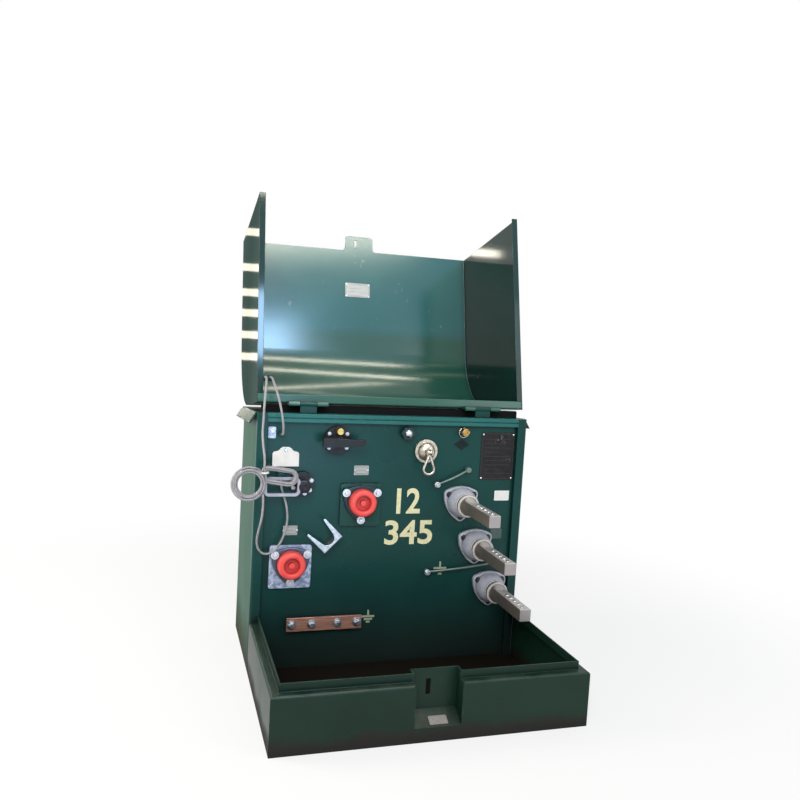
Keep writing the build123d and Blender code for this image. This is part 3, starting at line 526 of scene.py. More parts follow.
def platePiece(name, outline, thick, bevel, place, finish, body="tank"):
    build = bmesh.new()
    addPlate(build, outline, 0, thick, bevel)
    return addPiece(name, meshFrom(name, build, place), finish, body)


def latheMesh(name, profile, place, sides=40):  # profile is (radius, out), from the axis round to the axis
    build = bmesh.new()
    rings = []
    for radius, out in profile:
        if radius:
            rings.append([build.verts.new((radius * c, radius * s, out)) for c, s in circle(sides)])
        else:
            rings.append([build.verts.new((0, 0, out))] * sides)
    bridge(build, rings)
    mesh = meshFrom(name, build, place, True)
    mesh.set_sharp_from_angle(angle=math.radians(35))
    return mesh


def outlineMesh(name, outline, holes, thickness, place, rounding=0.0):  # flat card with holes
    data = bpy.data.curves.new(name, "CURVE")
    data.dimensions = "2D"
    data.fill_mode = "BOTH"
    data.extrude = thickness / 2
    data.bevel_depth = rounding
    data.bevel_resolution = 2
    for points in [outline, *holes]:
        spline = data.splines.new("POLY")
        spline.points.add(len(points) - 1)
        for point, (x, y) in zip(spline.points, points):
            point.co = (x, y, 0, 1)
        spline.use_cyclic_u = True
    mesh = meshOf(held(name, data), name)
    mesh.transform(place)
    return mesh


# cords: their routes are those of the frame, in metres
cordSet = {"diameter": 0.006, "sides": 14, "steps": 10}
riseRoute = [(-0.333, -0.183, 0.668), (-0.333, -0.207, 0.668), (-0.334, -0.223, 0.684), (-0.338, -0.227, 0.715),
             (-0.344, -0.221, 0.747), (-0.350, -0.205, 0.775), (-0.357, -0.183, 0.801), (-0.364, -0.1576, 0.8243),
             (-0.364, -0.1322, 0.8186)]
fallRoute = [(-0.378, -0.1322, 0.8186), (-0.378, -0.1576, 0.8243), (-0.380, -0.186, 0.810), (-0.384, -0.205, 0.782),
             (-0.387, -0.214, 0.748), (-0.388, -0.218, 0.711), (-0.390, -0.222, 0.675), (-0.388, -0.236, 0.641),
             (-0.384, -0.250, 0.611), (-0.384, -0.250, 0.583)]
loopRoute = [(-0.384, -0.250, 0.489), (-0.384, -0.250, 0.463), (-0.388, -0.243, 0.434), (-0.392, -0.228, 0.405),
             (-0.393, -0.212, 0.376), (-0.385, -0.203, 0.350), (-0.366, -0.200, 0.337), (-0.343, -0.200, 0.345),
             (-0.326, -0.200, 0.368), (-0.314, -0.201, 0.400), (-0.309, -0.203, 0.435), (-0.313, -0.205, 0.470),
             (-0.322, -0.203, 0.500), (-0.333, -0.202, 0.533), (-0.333, -0.202, 0.556)]
coilSet = {"centre": (-0.424, -0.252, 0.544), "radius": 0.039, "bundle": 0.0054, "fan": 0.0016, "turns": 5,
           "perTurn": 16, "leave": 70, "lead": [(-0.384, -0.250, 0.583), (-0.3815, -0.2505, 0.571),
                                                (-0.3800, -0.2515, 0.558)],
           "cross": [(-0.3985, -0.2460, 0.5815), (-0.3915, -0.2430, 0.5745)],
           "tail": [(-0.3865, -0.2395, 0.5440), (-0.3850, -0.2400, 0.5250), (-0.3840, -0.2460, 0.5070),
                    (-0.3840, -0.2500, 0.4890)]}
hankSet = {"centre": (-0.344, -0.242, 0.563), "straight": 0.029, "fold": 0.018, "bundle": 0.0037, "tilt": 8,
           "turns": 3, "spread": 330}


def coilPoints():
    total = 360 * coilSet["turns"] - coilSet["leave"]
    steps = round(coilSet["perTurn"] * total / 360)
    points = []
    for step in range(steps + 1):
        swept = total * step / steps
        angle = -math.radians(swept)
        phase = math.radians(72 * swept / 360)
        spread = coilSet["bundle"] + coilSet["fan"] * (1 - math.cos(angle)) / 2
        reach = coilSet["radius"] + spread * math.cos(phase)
        points.append(Vector(coilSet["centre"]) + Vector((reach * math.cos(angle), spread * math.sin(phase),
                                                          reach * math.sin(angle))))
    return points


def hankPoints():
    half, fold = hankSet["straight"], hankSet["fold"]
    tilt = Matrix.Rotation(math.radians(hankSet["tilt"]), 3, "Y")

    def bend(side, degrees):
        return [(side * half + fold * math.cos(a), fold * math.sin(a), math.cos(a), math.sin(a))
                for a in map(math.radians, degrees)]

    # (along, up, normal along, normal up), once round from the left end, downwards
    outline = bend(-1, (180, 210, 240)) + [(along, -fold, 0, -1) for along in (-half, -half / 3, half / 3, half)]
    outline += bend(1, (-60, -30, 0, 30, 60)) + [(along, fold, 0, 1) for along in (half, half / 3, -half / 3, -half)]
    outline += bend(-1, (120, 150))
    count = len(outline) * hankSet["turns"]
    points = []
    for step in range(count):
        along, high, outX, outZ = outline[step % len(outline)]
        phase = math.radians(90 + hankSet["spread"] * step / count)
        side, depth = hankSet["bundle"] * math.cos(phase), hankSet["bundle"] * math.sin(phase)
        points.append(Vector(hankSet["centre"]) + tilt @ Vector((along + outX * side, depth, high + outZ * side)))
    return points


def smoothLine(name, points):  # the route's spline, read back as close points
    data = bpy.data.curves.new(name, "CURVE")
    data.dimensions = "3D"
    data.resolution_u = cordSet["steps"]
    spline = data.splines.new("NURBS")
    spline.points.add(len(points) - 1)
    for point, place in zip(spline.points, points):
        point.co = (*place, 1)
    spline.order_u = 3
    spline.use_endpoint_u = True
    line = meshOf(held(name, data), name)
    places = [v.co.copy() for v in line.vertices]
    bpy.data.meshes.remove(line)
    return places


def tubeMesh(name, line, radius, sides):
    build = bmesh.new()
    rings = []
    side = None
    for index, place in enumerate(line):
        ahead = (line[min(index + 1, len(line) - 1)] - line[max(index - 1, 0)]).normalized()
        if side is None:
            side = ahead.orthogonal().normalized()
        side = (side - ahead * side.dot(ahead)).normalized()
        other = ahead.cross(side)
        rings.append([build.verts.new(place + radius * (side * c + other * s)) for c, s in circle(sides)])
    bridge(build, rings)
    for face in build.faces:
        face.smooth = True
    build.faces.new(rings[0][::-1])
    build.faces.new(rings[-1])
    mesh = bpy.data.meshes.new(name)
    build.to_mesh(mesh)
    build.free()
    return mesh


# the cords, each drawn along its route in place of a frame node
shutAxis = (0, 0.3807, 0.9247)
coilSquash = {"axis": (1, 0, 0), "anchor": (-0.380, -0.25, 0.54), "keep": 0.05}
coilRoute = coilSet["lead"] + coilPoints() + coilSet["cross"] + hankPoints() + coilSet["tail"]
cords = {
    "cordRise": {"route": riseRoute, "node": "cord_rise", "lay": "loose",
                 "squash": {"axis": shutAxis, "anchor": riseRoute[0], "keep": 0.035}},
    "cordFall": {"route": fallRoute, "node": "cord_fall", "lay": "hanging",
                 "squash": {"axis": shutAxis, "anchor": fallRoute[-1], "keep": 0.417}},
    "cordCoil": {"route": coilRoute, "node": "cord_coil", "lay": "coiled", "squash": coilSquash},
    "cordLoop": {"route": loopRoute, "node": "cord_loop", "lay": "hanging",
                 "squash": {"axis": (1, 0, 0), "anchor": (-0.352, -0.2, 0.45), "keep": 0.5}},
}
for name, spec in cords.items():
    line = smoothLine(name + "Line", spec["route"])
    tube = tubeMesh(name, line, cordSet["diameter"] / 2, cordSet["sides"])
    piece = addPiece(name, tube, "greyJacket", "tank")
    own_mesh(piece)
    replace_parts(piece, spec["node"])

# bare plates and labels, some with a raised frame and blank ruled lines
tag = {"thick": 0.0012, "corner": 0.002, "finish": "paleLabel", "rows": 3, "rule": "dullRule"}
label = {"thick": 0.0008, "corner": 0.002, "rows": 0}
plates = {
    "ratingPlate": {"place": onPlate(0.315, 0.611), "size": (0.108, 0.142), "thick": 0.0016, "corner": 0.003,
                    "finish": "darkPlate", "slot": "black_plastic", "rows": 9, "rule": "paleRule"},
    "whiteLabel": {**label, "place": onPlate(0.338, 0.492), "size": (0.048, 0.030), "finish": "whiteCard"},
    "greyLabel": {**label, "place": onPlate(0.328, 0.375), "size": (0.036, 0.030), "finish": "dullLabel"},
    "upperTag": {**tag, "place": onPlate(-0.101, 0.567), "size": (0.043, 0.027)},
    "lowerTag": {**tag, "place": onPlate(-0.296, 0.397), "size": (0.040, 0.027)},
    "hoodLabel": {**tag, "place": inHood(-0.005, 0.287), "size": (0.088, 0.050), "thick": 0.0020, "corner": 0.003,
                  "body": "hood", "rows": 4},
}
ruleSet = {"line": 0.0012, "proud": 0.0004, "inset": 0.0035, "shares": (0.78, 0.62, 0.78, 0.50), "bevel": 0.3,
           "sunk": 0.9, "left": 0.39, "top": 0.36, "thin": 0.8}
for name, spec in plates.items():
    width, height = spec["size"]
    thick, line, inset = spec["thick"], ruleSet["line"], ruleSet["inset"]
    body, slot = spec.get("body", "tank"), spec.get("slot", "zinc_steel")
    platePiece(name, roundedOutline(width, height, spec["corner"]), thick, thick * ruleSet["bevel"], spec["place"],
               spec["finish"], body)
    if spec["rows"]:
        build = bmesh.new()
        low, high = thick * ruleSet["sunk"], thick + ruleSet["proud"]
        for side in (-1, 1):
            addBar(build, side * (width / 2 - inset), 0, line, height - 2 * inset, low, high)
            addBar(build, 0, side * (height / 2 - inset), width - 2 * inset - line, line, low, high)
        for row in range(spec["rows"]):
            share, top = ruleSet["shares"][row % 4], ruleSet["top"]
            addBar(build, -width * (ruleSet["left"] - share / 2), height * (top - 2 * top * row / (spec["rows"] - 1)),
                   width * share, line * ruleSet["thin"], low, high)
        addPiece(name + "Frame", meshFrom(name + "Frame", build, spec["place"]), spec["rule"], body)

diamondSet = {"place": onPlate(0.199, 0.645), "reach": (0.024, 0.017), "thick": 0.0010, "bevel": 0.0003}
wide, high = diamondSet["reach"]
platePiece("diamondPlate", [(wide, 0), (0, high), (-wide, 0), (0, -high)], diamondSet["thick"], diamondSet["bevel"],
           diamondSet["place"], "darkGreen", "tank")
slopeSet = {"place": (0.005, -0.619, 0.0445), "size": (0.046, 0.024), "corner": 0.002, "thick": 0.0010,
            "bevel": 0.0003, "up": (0, 0.886, 0.4637), "out": (0, -0.4637, 0.886)}
lying = Matrix((Vector((1, 0, 0)), slopeSet["up"], slopeSet["out"])).transposed().to_4x4()
platePiece("pocketPlate", roundedOutline(*slopeSet["size"], slopeSet["corner"]), slopeSet["thick"], slopeSet["bevel"],
           Matrix.Translation(slopeSet["place"]) @ lying, "dullRule")
print("plates and labels made")

# painted numbers, plain ones, and the earth marks
numberSet = {"upperNumber": {"text": "12", "place": (0.045, 0.478), "size": (0.072, 0.075)},
             "lowerNumber": {"text": "345", "place": (0.051, 0.385), "size": (0.146, 0.072)}}
paintSet = {"swell": 0.022, "thick": 0.0003}
for name, spec in numberSet.items():
    data = bpy.data.curves.new(name, "FONT")
    data.body = spec["text"]
    data.offset, data.extrude = paintSet["swell"], paintSet["thick"]
    mesh = meshOf(held(name, data), name)
    width, height = spec["size"]
    xs, ys = [v.co.x for v in mesh.vertices], [v.co.y for v in mesh.vertices]
    fitted = Matrix.Diagonal((width / (max(xs) - min(xs)), height / (max(ys) - min(ys)), 1, 1))
    mesh.transform(fitted @ Matrix.Translation((-(max(xs) + min(xs)) / 2, -(max(ys) + min(ys)) / 2, 0)))
    mesh.transform(onPlate(*spec["place"], paintSet["thick"]))
    addPiece(name, mesh, "creamPaint", "tank")
earthSet = {"marks": {"earthMarkRight": (0.155, 0.275, 0.040), "earthMarkLeft": (-0.058, 0.139, 0.038)},
            "thick": 0.0005, "bars": ((0.28, 0.14, 0.44), (0.0, 1.0, 0.15), (-0.21, 0.66, 0.15), (-0.42, 0.30, 0.15))}
for name, (x, z, size) in earthSet["marks"].items():
    build = bmesh.new()
    for middle, wide, high in earthSet["bars"]:
        addBar(build, 0, size * middle, size * wide, size * high, 0, earthSet["thick"])
    addPiece(name, meshFrom(name, build, onPlate(x, z)), "fadedPaint", "tank")

# card that hangs on a screw
cardSet = {"hole": (-0.318, 0.6235), "holeRadius": 0.0032, "lean": 5.5, "thick": 0.0008, "out": 0.0022,
           "half": [(0.0365, -0.0455), (0.0365, -0.010), (0.0345, -0.0065), (0.0300, -0.0045), (0.0225, -0.0030),
                    (0.0180, 0.0005), (0.0140, 0.0050), (0.0085, 0.0080)]}
card = cardSet["half"] + [(-x, y) for x, y in reversed(cardSet["half"])]
hole = [(cardSet["holeRadius"] * c, cardSet["holeRadius"] * s) for c, s in circle(20)]
leaning = onPlate(*cardSet["hole"], cardSet["out"]) @ Matrix.Rotation(math.radians(-cardSet["lean"]), 4, "X")
addPiece("hangCard", outlineMesh("hangCard", card, [hole], cardSet["thick"], leaning), "whiteCard")

# small turned and bent pieces
hubSet = {"place": (-0.270, 0.530), "profile": [(0, 0.0500), (0.0150, 0.0500), (0.0160, 0.0515), (0.0160, 0.0570),
                                                (0.0140, 0.0592), (0.0070, 0.0600), (0.0060, 0.0588), (0, 0.0585)]}
addPiece("switchHub", latheMesh("switchHub", hubSet["profile"], onPlate(*hubSet["place"])), "mouldedBlack",
         "switch_lever")
lugSet = {"place": (-0.358, 0.671), "size": (0.022, 0.032), "corner": 0.004, "thick": 0.0022, "bevel": 0.0006}
platePiece("cornerLug", roundedOutline(*lugSet["size"], lugSet["corner"]), lugSet["thick"], lugSet["bevel"],
           onPlate(*lugSet["place"]), "galvanised")
ringSet = {"place": (0.202, 0.6806), "radius": 0.0140, "wire": 0.0014, "out": 0.0040, "sides": 40, "around": 10}
build = bmesh.new()
radius, wire = ringSet["radius"], ringSet["wire"]
rings = [[build.verts.new(((radius + wire * c) * x, (radius + wire * c) * y, wire * s))
          for c, s in circle(ringSet["around"])] for x, y in circle(ringSet["sides"])]
bridge(build, rings, True)
addPiece("ventRing", meshFrom("ventRing", build, onPlate(*ringSet["place"], ringSet["out"]), True), "zincPlate")
pullSet = {"thicker": 0.0010}  # the pull ring, with the round bar a little thicker
mesh = cadNodes["relief_ring"].data.copy()
mesh.transform(cadNodes["relief_ring"].matrix_world)
for vert in mesh.vertices:
    vert.co += vert.normal * pullSet["thicker"]
mesh.name = "pullRing"
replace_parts(addPiece("pullRing", mesh, "warmSteel", "pull_ring"), "relief_ring")
plugSet = {"place": (0.026, 0.677), "base": 0.0235, "radius": 0.0115, "wall": 0.002, "height": 0.010}
base, shoulder = plugSet["base"], plugSet["base"] + plugSet["wall"]
dome = [(plugSet["radius"] * math.cos(a), shoulder + plugSet["height"] * math.sin(a))
        for a in map(math.radians, (0, 20, 40, 60, 78))]
dome = [(0, base), (plugSet["radius"], base), *dome, (0, shoulder + plugSet["height"])]
addPiece("plugDome", latheMesh("plugDome", dome, onPlate(*plugSet["place"])), "zincPlate")

# parking stand: a fork with slender prongs on a short foot
forkSet = {"place": (-0.199, 0.38303), "turn": 135, "out": 0.036, "thick": 0.006, "heel": -0.026, "reach": 0.046,
           "half": 0.033, "slot": 0.021, "tip": 0.004, "chamfer": 0.002, "rounding": 0.0008,
           "foot": (0.006, 0.017, 0.001)}
heel, reach, wide, tip = forkSet["heel"], forkSet["reach"], forkSet["half"], forkSet["tip"]
fork = [(heel, -wide), (reach - forkSet["chamfer"], -wide), (reach, -wide + tip)]
fork += [(forkSet["slot"] * math.cos(a), forkSet["slot"] * math.sin(a))
         for a in (math.radians(-90 - 15 * k) for k in range(13))]
fork += [(reach, wide - tip), (reach - forkSet["chamfer"], wide), (heel, wide)]
turned = Matrix.Rotation(math.radians(forkSet["turn"]), 4, "Z")
mesh = outlineMesh("parkingFork", fork, [], forkSet["thick"] - 2 * forkSet["rounding"],
                   onPlate(*forkSet["place"], forkSet["out"] + forkSet["thick"] / 2) @ turned, forkSet["rounding"])
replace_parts(addPiece("parkingFork", mesh, "zincPlate"), "parking_stand")
thick, half, sunk = forkSet["foot"]
platePiece("forkFoot", [(heel, -half), (heel + thick, -half), (heel + thick, half), (heel, half)],
           forkSet["out"] + sunk, 0, onPlate(*forkSet["place"]) @ turned, "zincPlate")

# seal between tank and hood
sealSet = {"y": (-0.140, -0.124), "base": 0.7205, "top": 0.7440, "half": 0.385, "chamfer": 0.004}
low, high = sealSet["y"]
base, top, cut = sealSet["base"], sealSet["top"], sealSet["chamfer"]
section = [(low, base), (low, top - cut), (low + cut, top), (high - cut, top), (high, top - cut), (high, base)]
build = bmesh.new()
ends = [[build.verts.new((x, y, z)) for y, z in section] for x in (-sealSet["half"], sealSet["half"])]
bridge(build, ends)
for end in ends:
    build.faces.new(end)
addPiece("weatherSeal", meshFrom("weatherSeal", build, Matrix.Identity(4)), "sealRubber", "tank")

# tie round the cord where coil and hank meet
tieSet = {"centre": (-0.3845, -0.2465, 0.5735), "reach": (0.0125, 0.0105), "height": 0.0046, "thick": 0.0011}
build = bmesh.new()
rings = []
tall = Vector((0, 0, tieSet["height"] / 2))
for c, s in circle(36):
    spot = Vector((tieSet["reach"][0] * c, tieSet["reach"][1] * s, 0))
    outer = spot + spot.normalized() * tieSet["thick"]
    rings.append([build.verts.new(v) for v in (spot - tall, outer - tall, outer + tall, spot + tall)])
bridge(build, rings, True)
mesh = meshFrom("cordTie", build, Matrix.Translation(tieSet["centre"]))
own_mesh(addPiece("cordTie", mesh, "whiteCard", "tank"))
print("small pieces made")


# fasteners: one tree, placed on points that carry the way they face
def lifted(tree, mesh, height):  # a mesh moved up by a height
    move = put(tree, "ShaderNodeCombineXYZ", {"Z": height}).outputs[0]
    return put(tree, "GeometryNodeTransform", {"Geometry": mesh, "Translation": move}).outputs[0]


def randomValue(tree, low, high, seed):
    return put(tree, "FunctionNodeRandomValue", {2: low, 3: high, "Seed": seed}, data_type="FLOAT").outputs[1]


def spreadOver(tree, points, shape, finish, ins, smooth=False):  # a shape on each point, made plain and painted
    spread = put(tree, "GeometryNodeInstanceOnPoints", {"Points": points, "Instance": shape, **ins}).outputs[0]
    solid = put(tree, "GeometryNodeRealizeInstances", {"Geometry": spread}).outputs[0]
    if smooth:
        solid = put(tree, "GeometryNodeSetShadeSmooth", {0: solid}).outputs[0]
    return put(tree, "GeometryNodeSetMaterial", {"Geometry": solid, "Material": finish}).outputs[0]


boltShape = {"washerSides": 28, "bodyShare": 0.7, "crownShare": 0.3, "turn": (0.0, 1.05)}
beadShape = {"segments": 10, "rings": 6, "scale": (0.72, 1.15)}


def fasteners(tree, size):
    washerHeight, headRadius = size["Washer height"], size["Head radius"]
    washer = put(tree, "GeometryNodeMeshCylinder", {"Vertices": boltShape["washerSides"], "Depth": washerHeight,
                                                    "Radius": size["Washer radius"]}).outputs["Mesh"]
    washer = lifted(tree, washer, maths(tree, "MULTIPLY", washerHeight, 0.5))
    bodyHeight = maths(tree, "MULTIPLY", size["Head height"], boltShape["bodyShare"])
    shank = put(tree, "GeometryNodeMeshCylinder", {"Vertices": size["Corners"], "Radius": headRadius,
                                                   "Depth": bodyHeight}).outputs["Mesh"]
    shank = lifted(tree, shank, maths(tree, "ADD", washerHeight, maths(tree, "MULTIPLY", bodyHeight, 0.5)))
    crown = put(tree, "GeometryNodeMeshCone", {
        "Vertices": size["Corners"], "Radius Bottom": headRadius,
        "Radius Top": maths(tree, "MULTIPLY", headRadius, size["Crown share"]),
        "Depth": maths(tree, "MULTIPLY", size["Head height"], boltShape["crownShare"])}).outputs["Mesh"]
    crown = lifted(tree, crown, maths(tree, "ADD", washerHeight, bodyHeight))
    joined = put(tree, "GeometryNodeJoinGeometry")
    for part in (washer, shank, crown):
        tree.links.new(part, joined.inputs[0])
    way = put(tree, "GeometryNodeInputNamedAttribute", {"Name": "facing"},
              data_type="FLOAT_VECTOR").outputs["Attribute"]
    aimed = put(tree, "FunctionNodeAlignRotationToVector", {"Vector": way}, axis="Z").outputs[0]
    spun = put(tree, "FunctionNodeAxisAngleToRotation", {
        "Axis": (0, 0, 1), "Angle": randomValue(tree, *boltShape["turn"], size["Seed"])}).outputs[0]
    turned = put(tree, "FunctionNodeRotateRotation", {"Rotation": aimed, "Rotate By": spun},
                 rotation_space="LOCAL").outputs[0]
    return [spreadOver(tree, size["Geometry"], joined.outputs[0], size["Finish"], {"Rotation": turned})]


def weldRun(tree, size):  # ripples of a weld run along a line
    line = put(tree, "GeometryNodeMeshToCurve", {"Mesh": size["Geometry"]}).outputs[0]
    even = put(tree, "GeometryNodeResampleCurve", {"Curve": line, "Length": size["Spacing"]}, mode="LENGTH").outputs[0]
    points = put(tree, "GeometryNodeCurveToPoints", {"Curve": even}, mode="EVALUATED").outputs
    bead = put(tree, "GeometryNodeMeshUVSphere", {"Segments": beadShape["segments"], "Rings": beadShape["rings"],
                                                  "Radius": size["Bead radius"]}).outputs["Mesh"]
    placed = {"Rotation": points["Rotation"], "Scale": randomValue(tree, *beadShape["scale"], size["Seed"])}
    return [spreadOver(tree, points["Points"], bead, size["Finish"], placed, True)]


shape = {"Geometry": "Geometry"}
fastenerTree = newGroup("Geometry", "fasteners", {
    **shape, "Head radius": 0.006, "Head height": 0.004, "Crown share": 0.8, "Washer radius": 0.009,
    "Washer height": 0.001, "Corners": 6, "Seed": 3, "Finish": "Material"}, shape, fasteners)
weldTree = newGroup("Geometry", "weldRun", {
    **shape, "Spacing": 0.0022, "Bead radius": 0.0028, "Seed": 5, "Finish": "Material"}, shape, weldRun)


def growPiece(name, tree, values, body, spots, facing=None, joins=()):
    seedMesh = bpy.data.meshes.new(name + "Seed")
    seedMesh.from_pydata([tuple(s) for s in spots], list(joins), [])
    if facing:
        for item in seedMesh.attributes.new("facing", "FLOAT_VECTOR", "POINT").data:
            item.vector = facing
    holder = held(name, seedMesh)
    grown = holder.modifiers.new("grow", "NODES")
    grown.node_group = tree
    labels = {item.name: item.identifier for item in tree.interface.items_tree if item.in_out == "INPUT"}
    for title, value in values.items():
        grown[labels[title]] = value
    return addPiece(name, meshOf(holder, name), None, body)


def spotOut(x, z, out):
    return Vector((x, plateY - out, z))


def around(x, z, radius, degrees, out):  # spots on the front plate, round a centre
    return [spotOut(x + radius * math.cos(a), z + radius * math.sin(a), out) for a in map(math.radians, degrees)]


def onCorners(name, wide, high):  # spots on a plate, to both sides of its middle
    rows = (-1, 1) if high else (0,)
    return [plates[name]["place"] @ Vector((a * wide, b * high, plates[name]["thick"])) for a in (-1, 1) for b in rows]


# collars made lighter, painted light, with a dark ring of painted shade in the groove between them on each bushing's
# neck
bushings = [(0.204, 0.476), (0.258, 0.346), (0.312, 0.216)]
collarSet = {"rings": ((0.0530, 0.0598), (0.0668, 0.0738)), "radius": 0.0328, "rounding": 0.0018, "inner": 0.0270,
             "groove": (0.0590, 0.0675), "grooveRadius": 0.0313, "sides": 48}


def neckRings(name, sections, finish):
    build = bmesh.new()
    for x, z in bushings:
        for section in sections:
            ring = latheMesh("ring", [*section, section[0]], onPlate(x, z), collarSet["sides"])
            build.from_mesh(ring)
            bpy.data.meshes.remove(ring)
    mesh = bpy.data.meshes.new(name)
    build.to_mesh(mesh)
    build.free()
    addPiece(name, mesh, finish, "tank")


reach, soft, inner = collarSet["radius"], collarSet["rounding"], collarSet["inner"]
collars = [[(inner, low), (reach - soft, low), (reach, low + soft), (reach, high - soft), (reach - soft, high),
            (inner, high)] for low, high in collarSet["rings"]]
neckRings("bushingCollars", collars, "collarResinLit")
# painted shade: a dark ring fills the groove between the collars
(low, high), reach = collarSet["groove"], collarSet["grooveRadius"]
neckRings("bushingGrooveShade", [[(inner, low), (reach, low), (reach, high), (inner, high)]], "darkSteel")

# head and washer are (radius, height)
outward, upward = (0, -1, 0), (0, 0, 1)
lobes = (30, 150, 270)
barSet = {"half": 0.0168, "screws": (0.140, 0.165, 0.190, 0.215, 0.240), "socketLift": Vector((0, 0, 0.0024))}
screwSpots = [spotOut(x, z + barSet["half"], out) for x, z in bushings for out in barSet["screws"]]
rivetSpots = [s for name, *reach in (("ratingPlate", 0.0485, 0.0655), ("upperTag", 0.0188, 0), ("lowerTag", 0.0188, 0))
              for s in onCorners(name, *reach)]
rivet = {"finish": "zincPlate", "corners": 16, "crown": 0.55}
fastenerSet = {
    "clampBolts": {"finish": "brightZinc", "head": (0.0062, 0.0060), "washer": (0.0115, 0.0018),
                   "spots": around(-0.100, 0.480, 0.052, lobes, 0.020) + around(-0.293, 0.3068, 0.052, lobes, 0.020)},
    "flangeBolts": {"finish": "darkSteel", "head": (0.0058, 0.0045), "washer": (0.0085, 0.0012),
                    "spots": [s for x, z in bushings for s in around(x, z, 0.045, lobes, 0.0128)]},
    "switchBolts": {"finish": "brightZinc", "head": (0.0042, 0.0045), "washer": (0.0058, 0.0010),
                    "spots": around(*hubSet["place"], 0.027, (22, -38, -74, 142, 202), 0.014)},
    "tapBolts": {"finish": "brightZinc", "head": (0.0040, 0.0040), "washer": (0.0054, 0.0010),
                 "spots": around(-0.175, 0.652, 0.032, (38, 142, 218, 322), 0.012)},
    "earthBolts": {"finish": "zincPlate", "head": (0.0085, 0.0090), "washer": (0.0125, 0.0020),
                   "spots": [spotOut(x, 0.132, 0.020) for x in (-0.284, -0.227, -0.153, -0.096)]},
    "studNuts": {"finish": "zincPlate", "head": (0.0080, 0.0060), "washer": (0.0088, 0.0012),
                 "spots": [spotOut(0.127, 0.527, 0.0135), spotOut(0.112, 0.267, 0.0135)]},
    "lugBolt": {"finish": "zincPlate", "head": (0.0055, 0.0055), "washer": (0.0075, 0.0010),
                "spots": [spotOut(-0.358, 0.675, lugSet["thick"]), spotOut(*cardSet["hole"], 0)]},
    "plateRivets": {**rivet, "head": (0.0028, 0.0016), "washer": (0.0030, 0.0004), "spots": rivetSpots},
    "hoodRivets": {**rivet, "head": (0.0026, 0.0014), "washer": (0.0029, 0.0004), "body": "hood",
                   "facing": tuple(hoodOpen.to_3x3() @ Vector((0, 1, 0))),
                   "spots": onCorners("hoodLabel", 0.040, -0.021)},
    "barScrews": {"finish": "zincPlate", "head": (0.0052, 0.0020), "washer": (0.0062, 0.0006), "corners": 20,
                  "crown": 0.9, "slot": "tinned_aluminium", "facing": upward, "spots": screwSpots},
    "barSockets": {"finish": "darkSteel", "head": (0.0028, 0.0006), "washer": (0.0026, 0.0002), "crown": 0.98,
                   "slot": "tinned_aluminium", "facing": upward,
                   "spots": [s + barSet["socketLift"] for s in screwSpots]},
}
for name, spec in fastenerSet.items():
    headRadius, headHeight = spec["head"]
    washerRadius, washerHeight = spec["washer"]
    values = {"Head radius": headRadius, "Head height": headHeight, "Crown share": spec.get("crown", 0.82),
              "Washer radius": washerRadius, "Washer height": washerHeight, "Corners": spec.get("corners", 6),
              "Finish": finishes[spec["finish"]]}
    growPiece(name, fastenerTree, values, spec.get("body", "tank"), spec["spots"],
              spec.get("facing", outward))
print("fasteners made")

# weld runs in the hood's inner corners
weldSet = {"inset": 0.3955, "steps": 14, "spacing": 0.0026, "bead": 0.0026, "lift": 0.004}
profile = [Vector((0, *hood["rear"]))]
for k in range(weldSet["steps"] + 1):
    a = math.radians(180 - hood["bendTurn"] + hood["bendTurn"] * k / weldSet["steps"])
    profile.append(Vector((0, hood["bendCentre"][0] + hood["bendRadius"] * math.cos(a),
                           hood["bendCentre"][1] + hood["bendRadius"] * math.sin(a))))
profile.append(Vector((0, hood["frontY"], hood["bottom"] + weldSet["lift"])))
values = {"Spacing": weldSet["spacing"], "Bead radius": weldSet["bead"], "Finish": finishes["weldEnamelLit"]}
for name, side in (("hoodWeldLeft", -1), ("hoodWeldRight", 1)):
    run = [hoodOpen @ (p + Vector((side * weldSet["inset"], 0, 0))) for p in profile]
    growPiece(name, weldTree, values, "hood", run, None, [(k, k + 1) for k in range(len(run) - 1)])
print("weld runs made")


# floor and light
def shownRays(tree):  # where the background is seen, straight or mirrored or through glass
    seen = put(tree, "ShaderNodeLightPath").outputs
    either = maths(tree, "MAXIMUM", seen["Is Camera Ray"], seen["Is Glossy Ray"])
    return maths(tree, "MAXIMUM", either, seen["Is Transmission Ray"])


def within(tree, value, middle, half):
    return maths(tree, "LESS_THAN", maths(tree, "ABSOLUTE", maths(tree, "SUBTRACT", value, middle)), half)


floorSet = {"reach": 30, "tone": (0.86, 0.86, 0.86, 1), "underSillShadeX": (0.0, 0.3995), "underSillShadeY": (-0.392, 0.2425),
            "underSillShadeTone": (0.012, 0.010, 0.008, 1), "fade": (0.7, 1.9, 0.72, 1.0)}
reach = floorSet["reach"]
floorMesh = bpy.data.meshes.new("floor")
floorCorners = [(a * reach, b * reach, 0) for a, b in ((-1, -1), (1, -1), (1, 1), (-1, 1))]
floorMesh.from_pydata(floorCorners, [], [(0, 1, 2, 3)])
floor = bpy.data.objects.new("floor", floorMesh)
scene.collection.objects.link(floor)
floorPaint = bpy.data.materials.new("floorPaint")
floorPaint.use_nodes = True
tree = floorPaint.node_tree
tree.nodes.clear()
where = objectPlace(tree)
away = put(tree, "ShaderNodeVectorMath", {0: where}, operation="LENGTH").outputs["Value"]
underSillShade = maths(tree, "MULTIPLY", within(tree, axisOf(tree, where, "X"), *floorSet["underSillShadeX"]),
               within(tree, axisOf(tree, where, "Y"), *floorSet["underSillShadeY"]))  # painted shade: the floor under the sill is painted near black, for the shade inside the cabinet
share = maths(tree, "MULTIPLY", shownRays(tree), ramp(tree, away, *floorSet["fade"]))
share = maths(tree, "MULTIPLY", share, maths(tree, "SUBTRACT", 1.0, underSillShade))
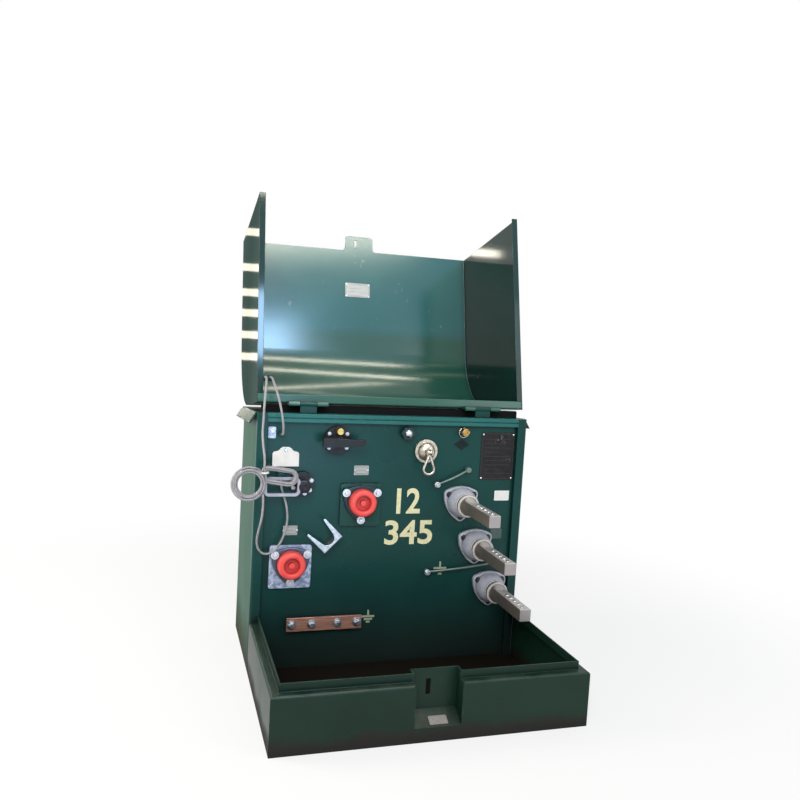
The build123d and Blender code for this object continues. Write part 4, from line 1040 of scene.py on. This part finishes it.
# painted shade: near black floor tone under the sill
tone = mixColour(tree, underSillShade, floorSet["tone"], floorSet["underSillShadeTone"])
matt = put(tree, "ShaderNodeBsdfDiffuse", {"Color": tone}).outputs[0]
white = put(tree, "ShaderNodeEmission", {"Color": (1, 1, 1, 1), "Strength": 1.0}).outputs[0]
both = put(tree, "ShaderNodeMixShader", {0: share, 1: matt, 2: white}).outputs[0]
put(tree, "ShaderNodeOutputMaterial", {"Surface": both})
floorMesh.materials.append(floorPaint)

worldSet = {"tone": (0.92, 0.96, 1.0, 1), "strength": 0.5}
world = bpy.data.worlds.new("studio")
scene.world = world
world.use_nodes = True
tree = world.node_tree
tree.nodes.clear()
soft = put(tree, "ShaderNodeBackground", {"Color": worldSet["tone"], "Strength": worldSet["strength"]}).outputs[0]
white = put(tree, "ShaderNodeBackground", {"Color": (1, 1, 1, 1), "Strength": 1.0}).outputs[0]
both = put(tree, "ShaderNodeMixShader", {0: shownRays(tree), 1: soft, 2: white}).outputs[0]
put(tree, "ShaderNodeOutputWorld", {"Surface": both})

lamps = {
    "key": {"place": (-1.0, -2.9, 2.3), "aim": (0, -0.2, 0.6), "size": (1.5, 1.5), "power": 66,
            "tint": (1, 0.97, 0.92)},
    "left": {"place": (-2.4, 0.3, 1.4), "aim": (-0.4, 0, 0.5), "size": (1.0, 1.4), "power": 42,
             "tint": (1, 0.95, 0.80)},
    "fill": {"place": (1.9, -2.4, 1.6), "aim": (0, -0.2, 0.6), "size": (1.5, 1.5), "power": 14,
             "tint": (0.92, 0.96, 1)},
}
# these only show as sheen in the enamel, as a hall's tubes and windows do
warm = (1, 0.93, 0.76)
sheens = {
    "sky": {"place": (0.60, -2.25, 2.40), "aim": (-0.05, 0.36, 1.05), "size": (2.4, 1.2), "power": 9,
            "tint": (0.32, 0.62, 1.0)},
    "glow": {"place": (-0.05, -2.35, 2.05), "aim": (-0.3, 0.36, 0.98), "size": (0.6, 0.4), "power": 29,
             "tint": (0.42, 0.68, 1.0)},
    "plateGlow": {"place": (0.05, -2.30, 0.32), "aim": (-0.3, -0.17, 0.60), "size": (0.6, 0.4), "power": 6,
                  "tint": (0.40, 0.66, 1.0)},
    "tube1": {"place": (0.18, -1.35, 2.39), "aim": (-0.2, 0.32, 0.85), "size": (1.3, 0.12), "power": 15, "tint": warm},
    "tube2": {"place": (0.17, -0.67, 2.80), "aim": (-0.2, 0.30, 0.81), "size": (1.5, 0.12), "power": 18, "tint": warm},
    "tube3": {"place": (0.15, 0.56, 2.80), "aim": (-0.2, 0.26, 0.77), "size": (1.6, 0.10), "power": 9, "tint": warm},
}
for k, height in enumerate((1.60, 1.36, 1.19, 1.05, 0.90, 0.75)):
    sheens["rear" + str(k + 1)] = {"place": (-0.70, 3.20, height), "aim": (-0.4, 0.2, height * 0.7 + 0.25),
                                   "size": (0.5, 0.05), "power": 1.5, "tint": warm}
for name, spec in {**lamps, **sheens}.items():
    data = bpy.data.lights.new(name, "AREA")
    data.shape = "RECTANGLE"
    data.size, data.size_y = spec["size"]
    data.energy = spec["power"]
    data.color = spec["tint"]
    lamp = bpy.data.objects.new(name, data)
    scene.collection.objects.link(lamp)
    lamp.location = spec["place"]
    lamp.rotation_euler = (Vector(spec["aim"]) - Vector(spec["place"])).to_track_quat("-Z", "Y").to_euler()
    lamp.visible_camera = False
    lamp.visible_diffuse = name in lamps
print("floor and light set")

bpy.context.view_layer.update()
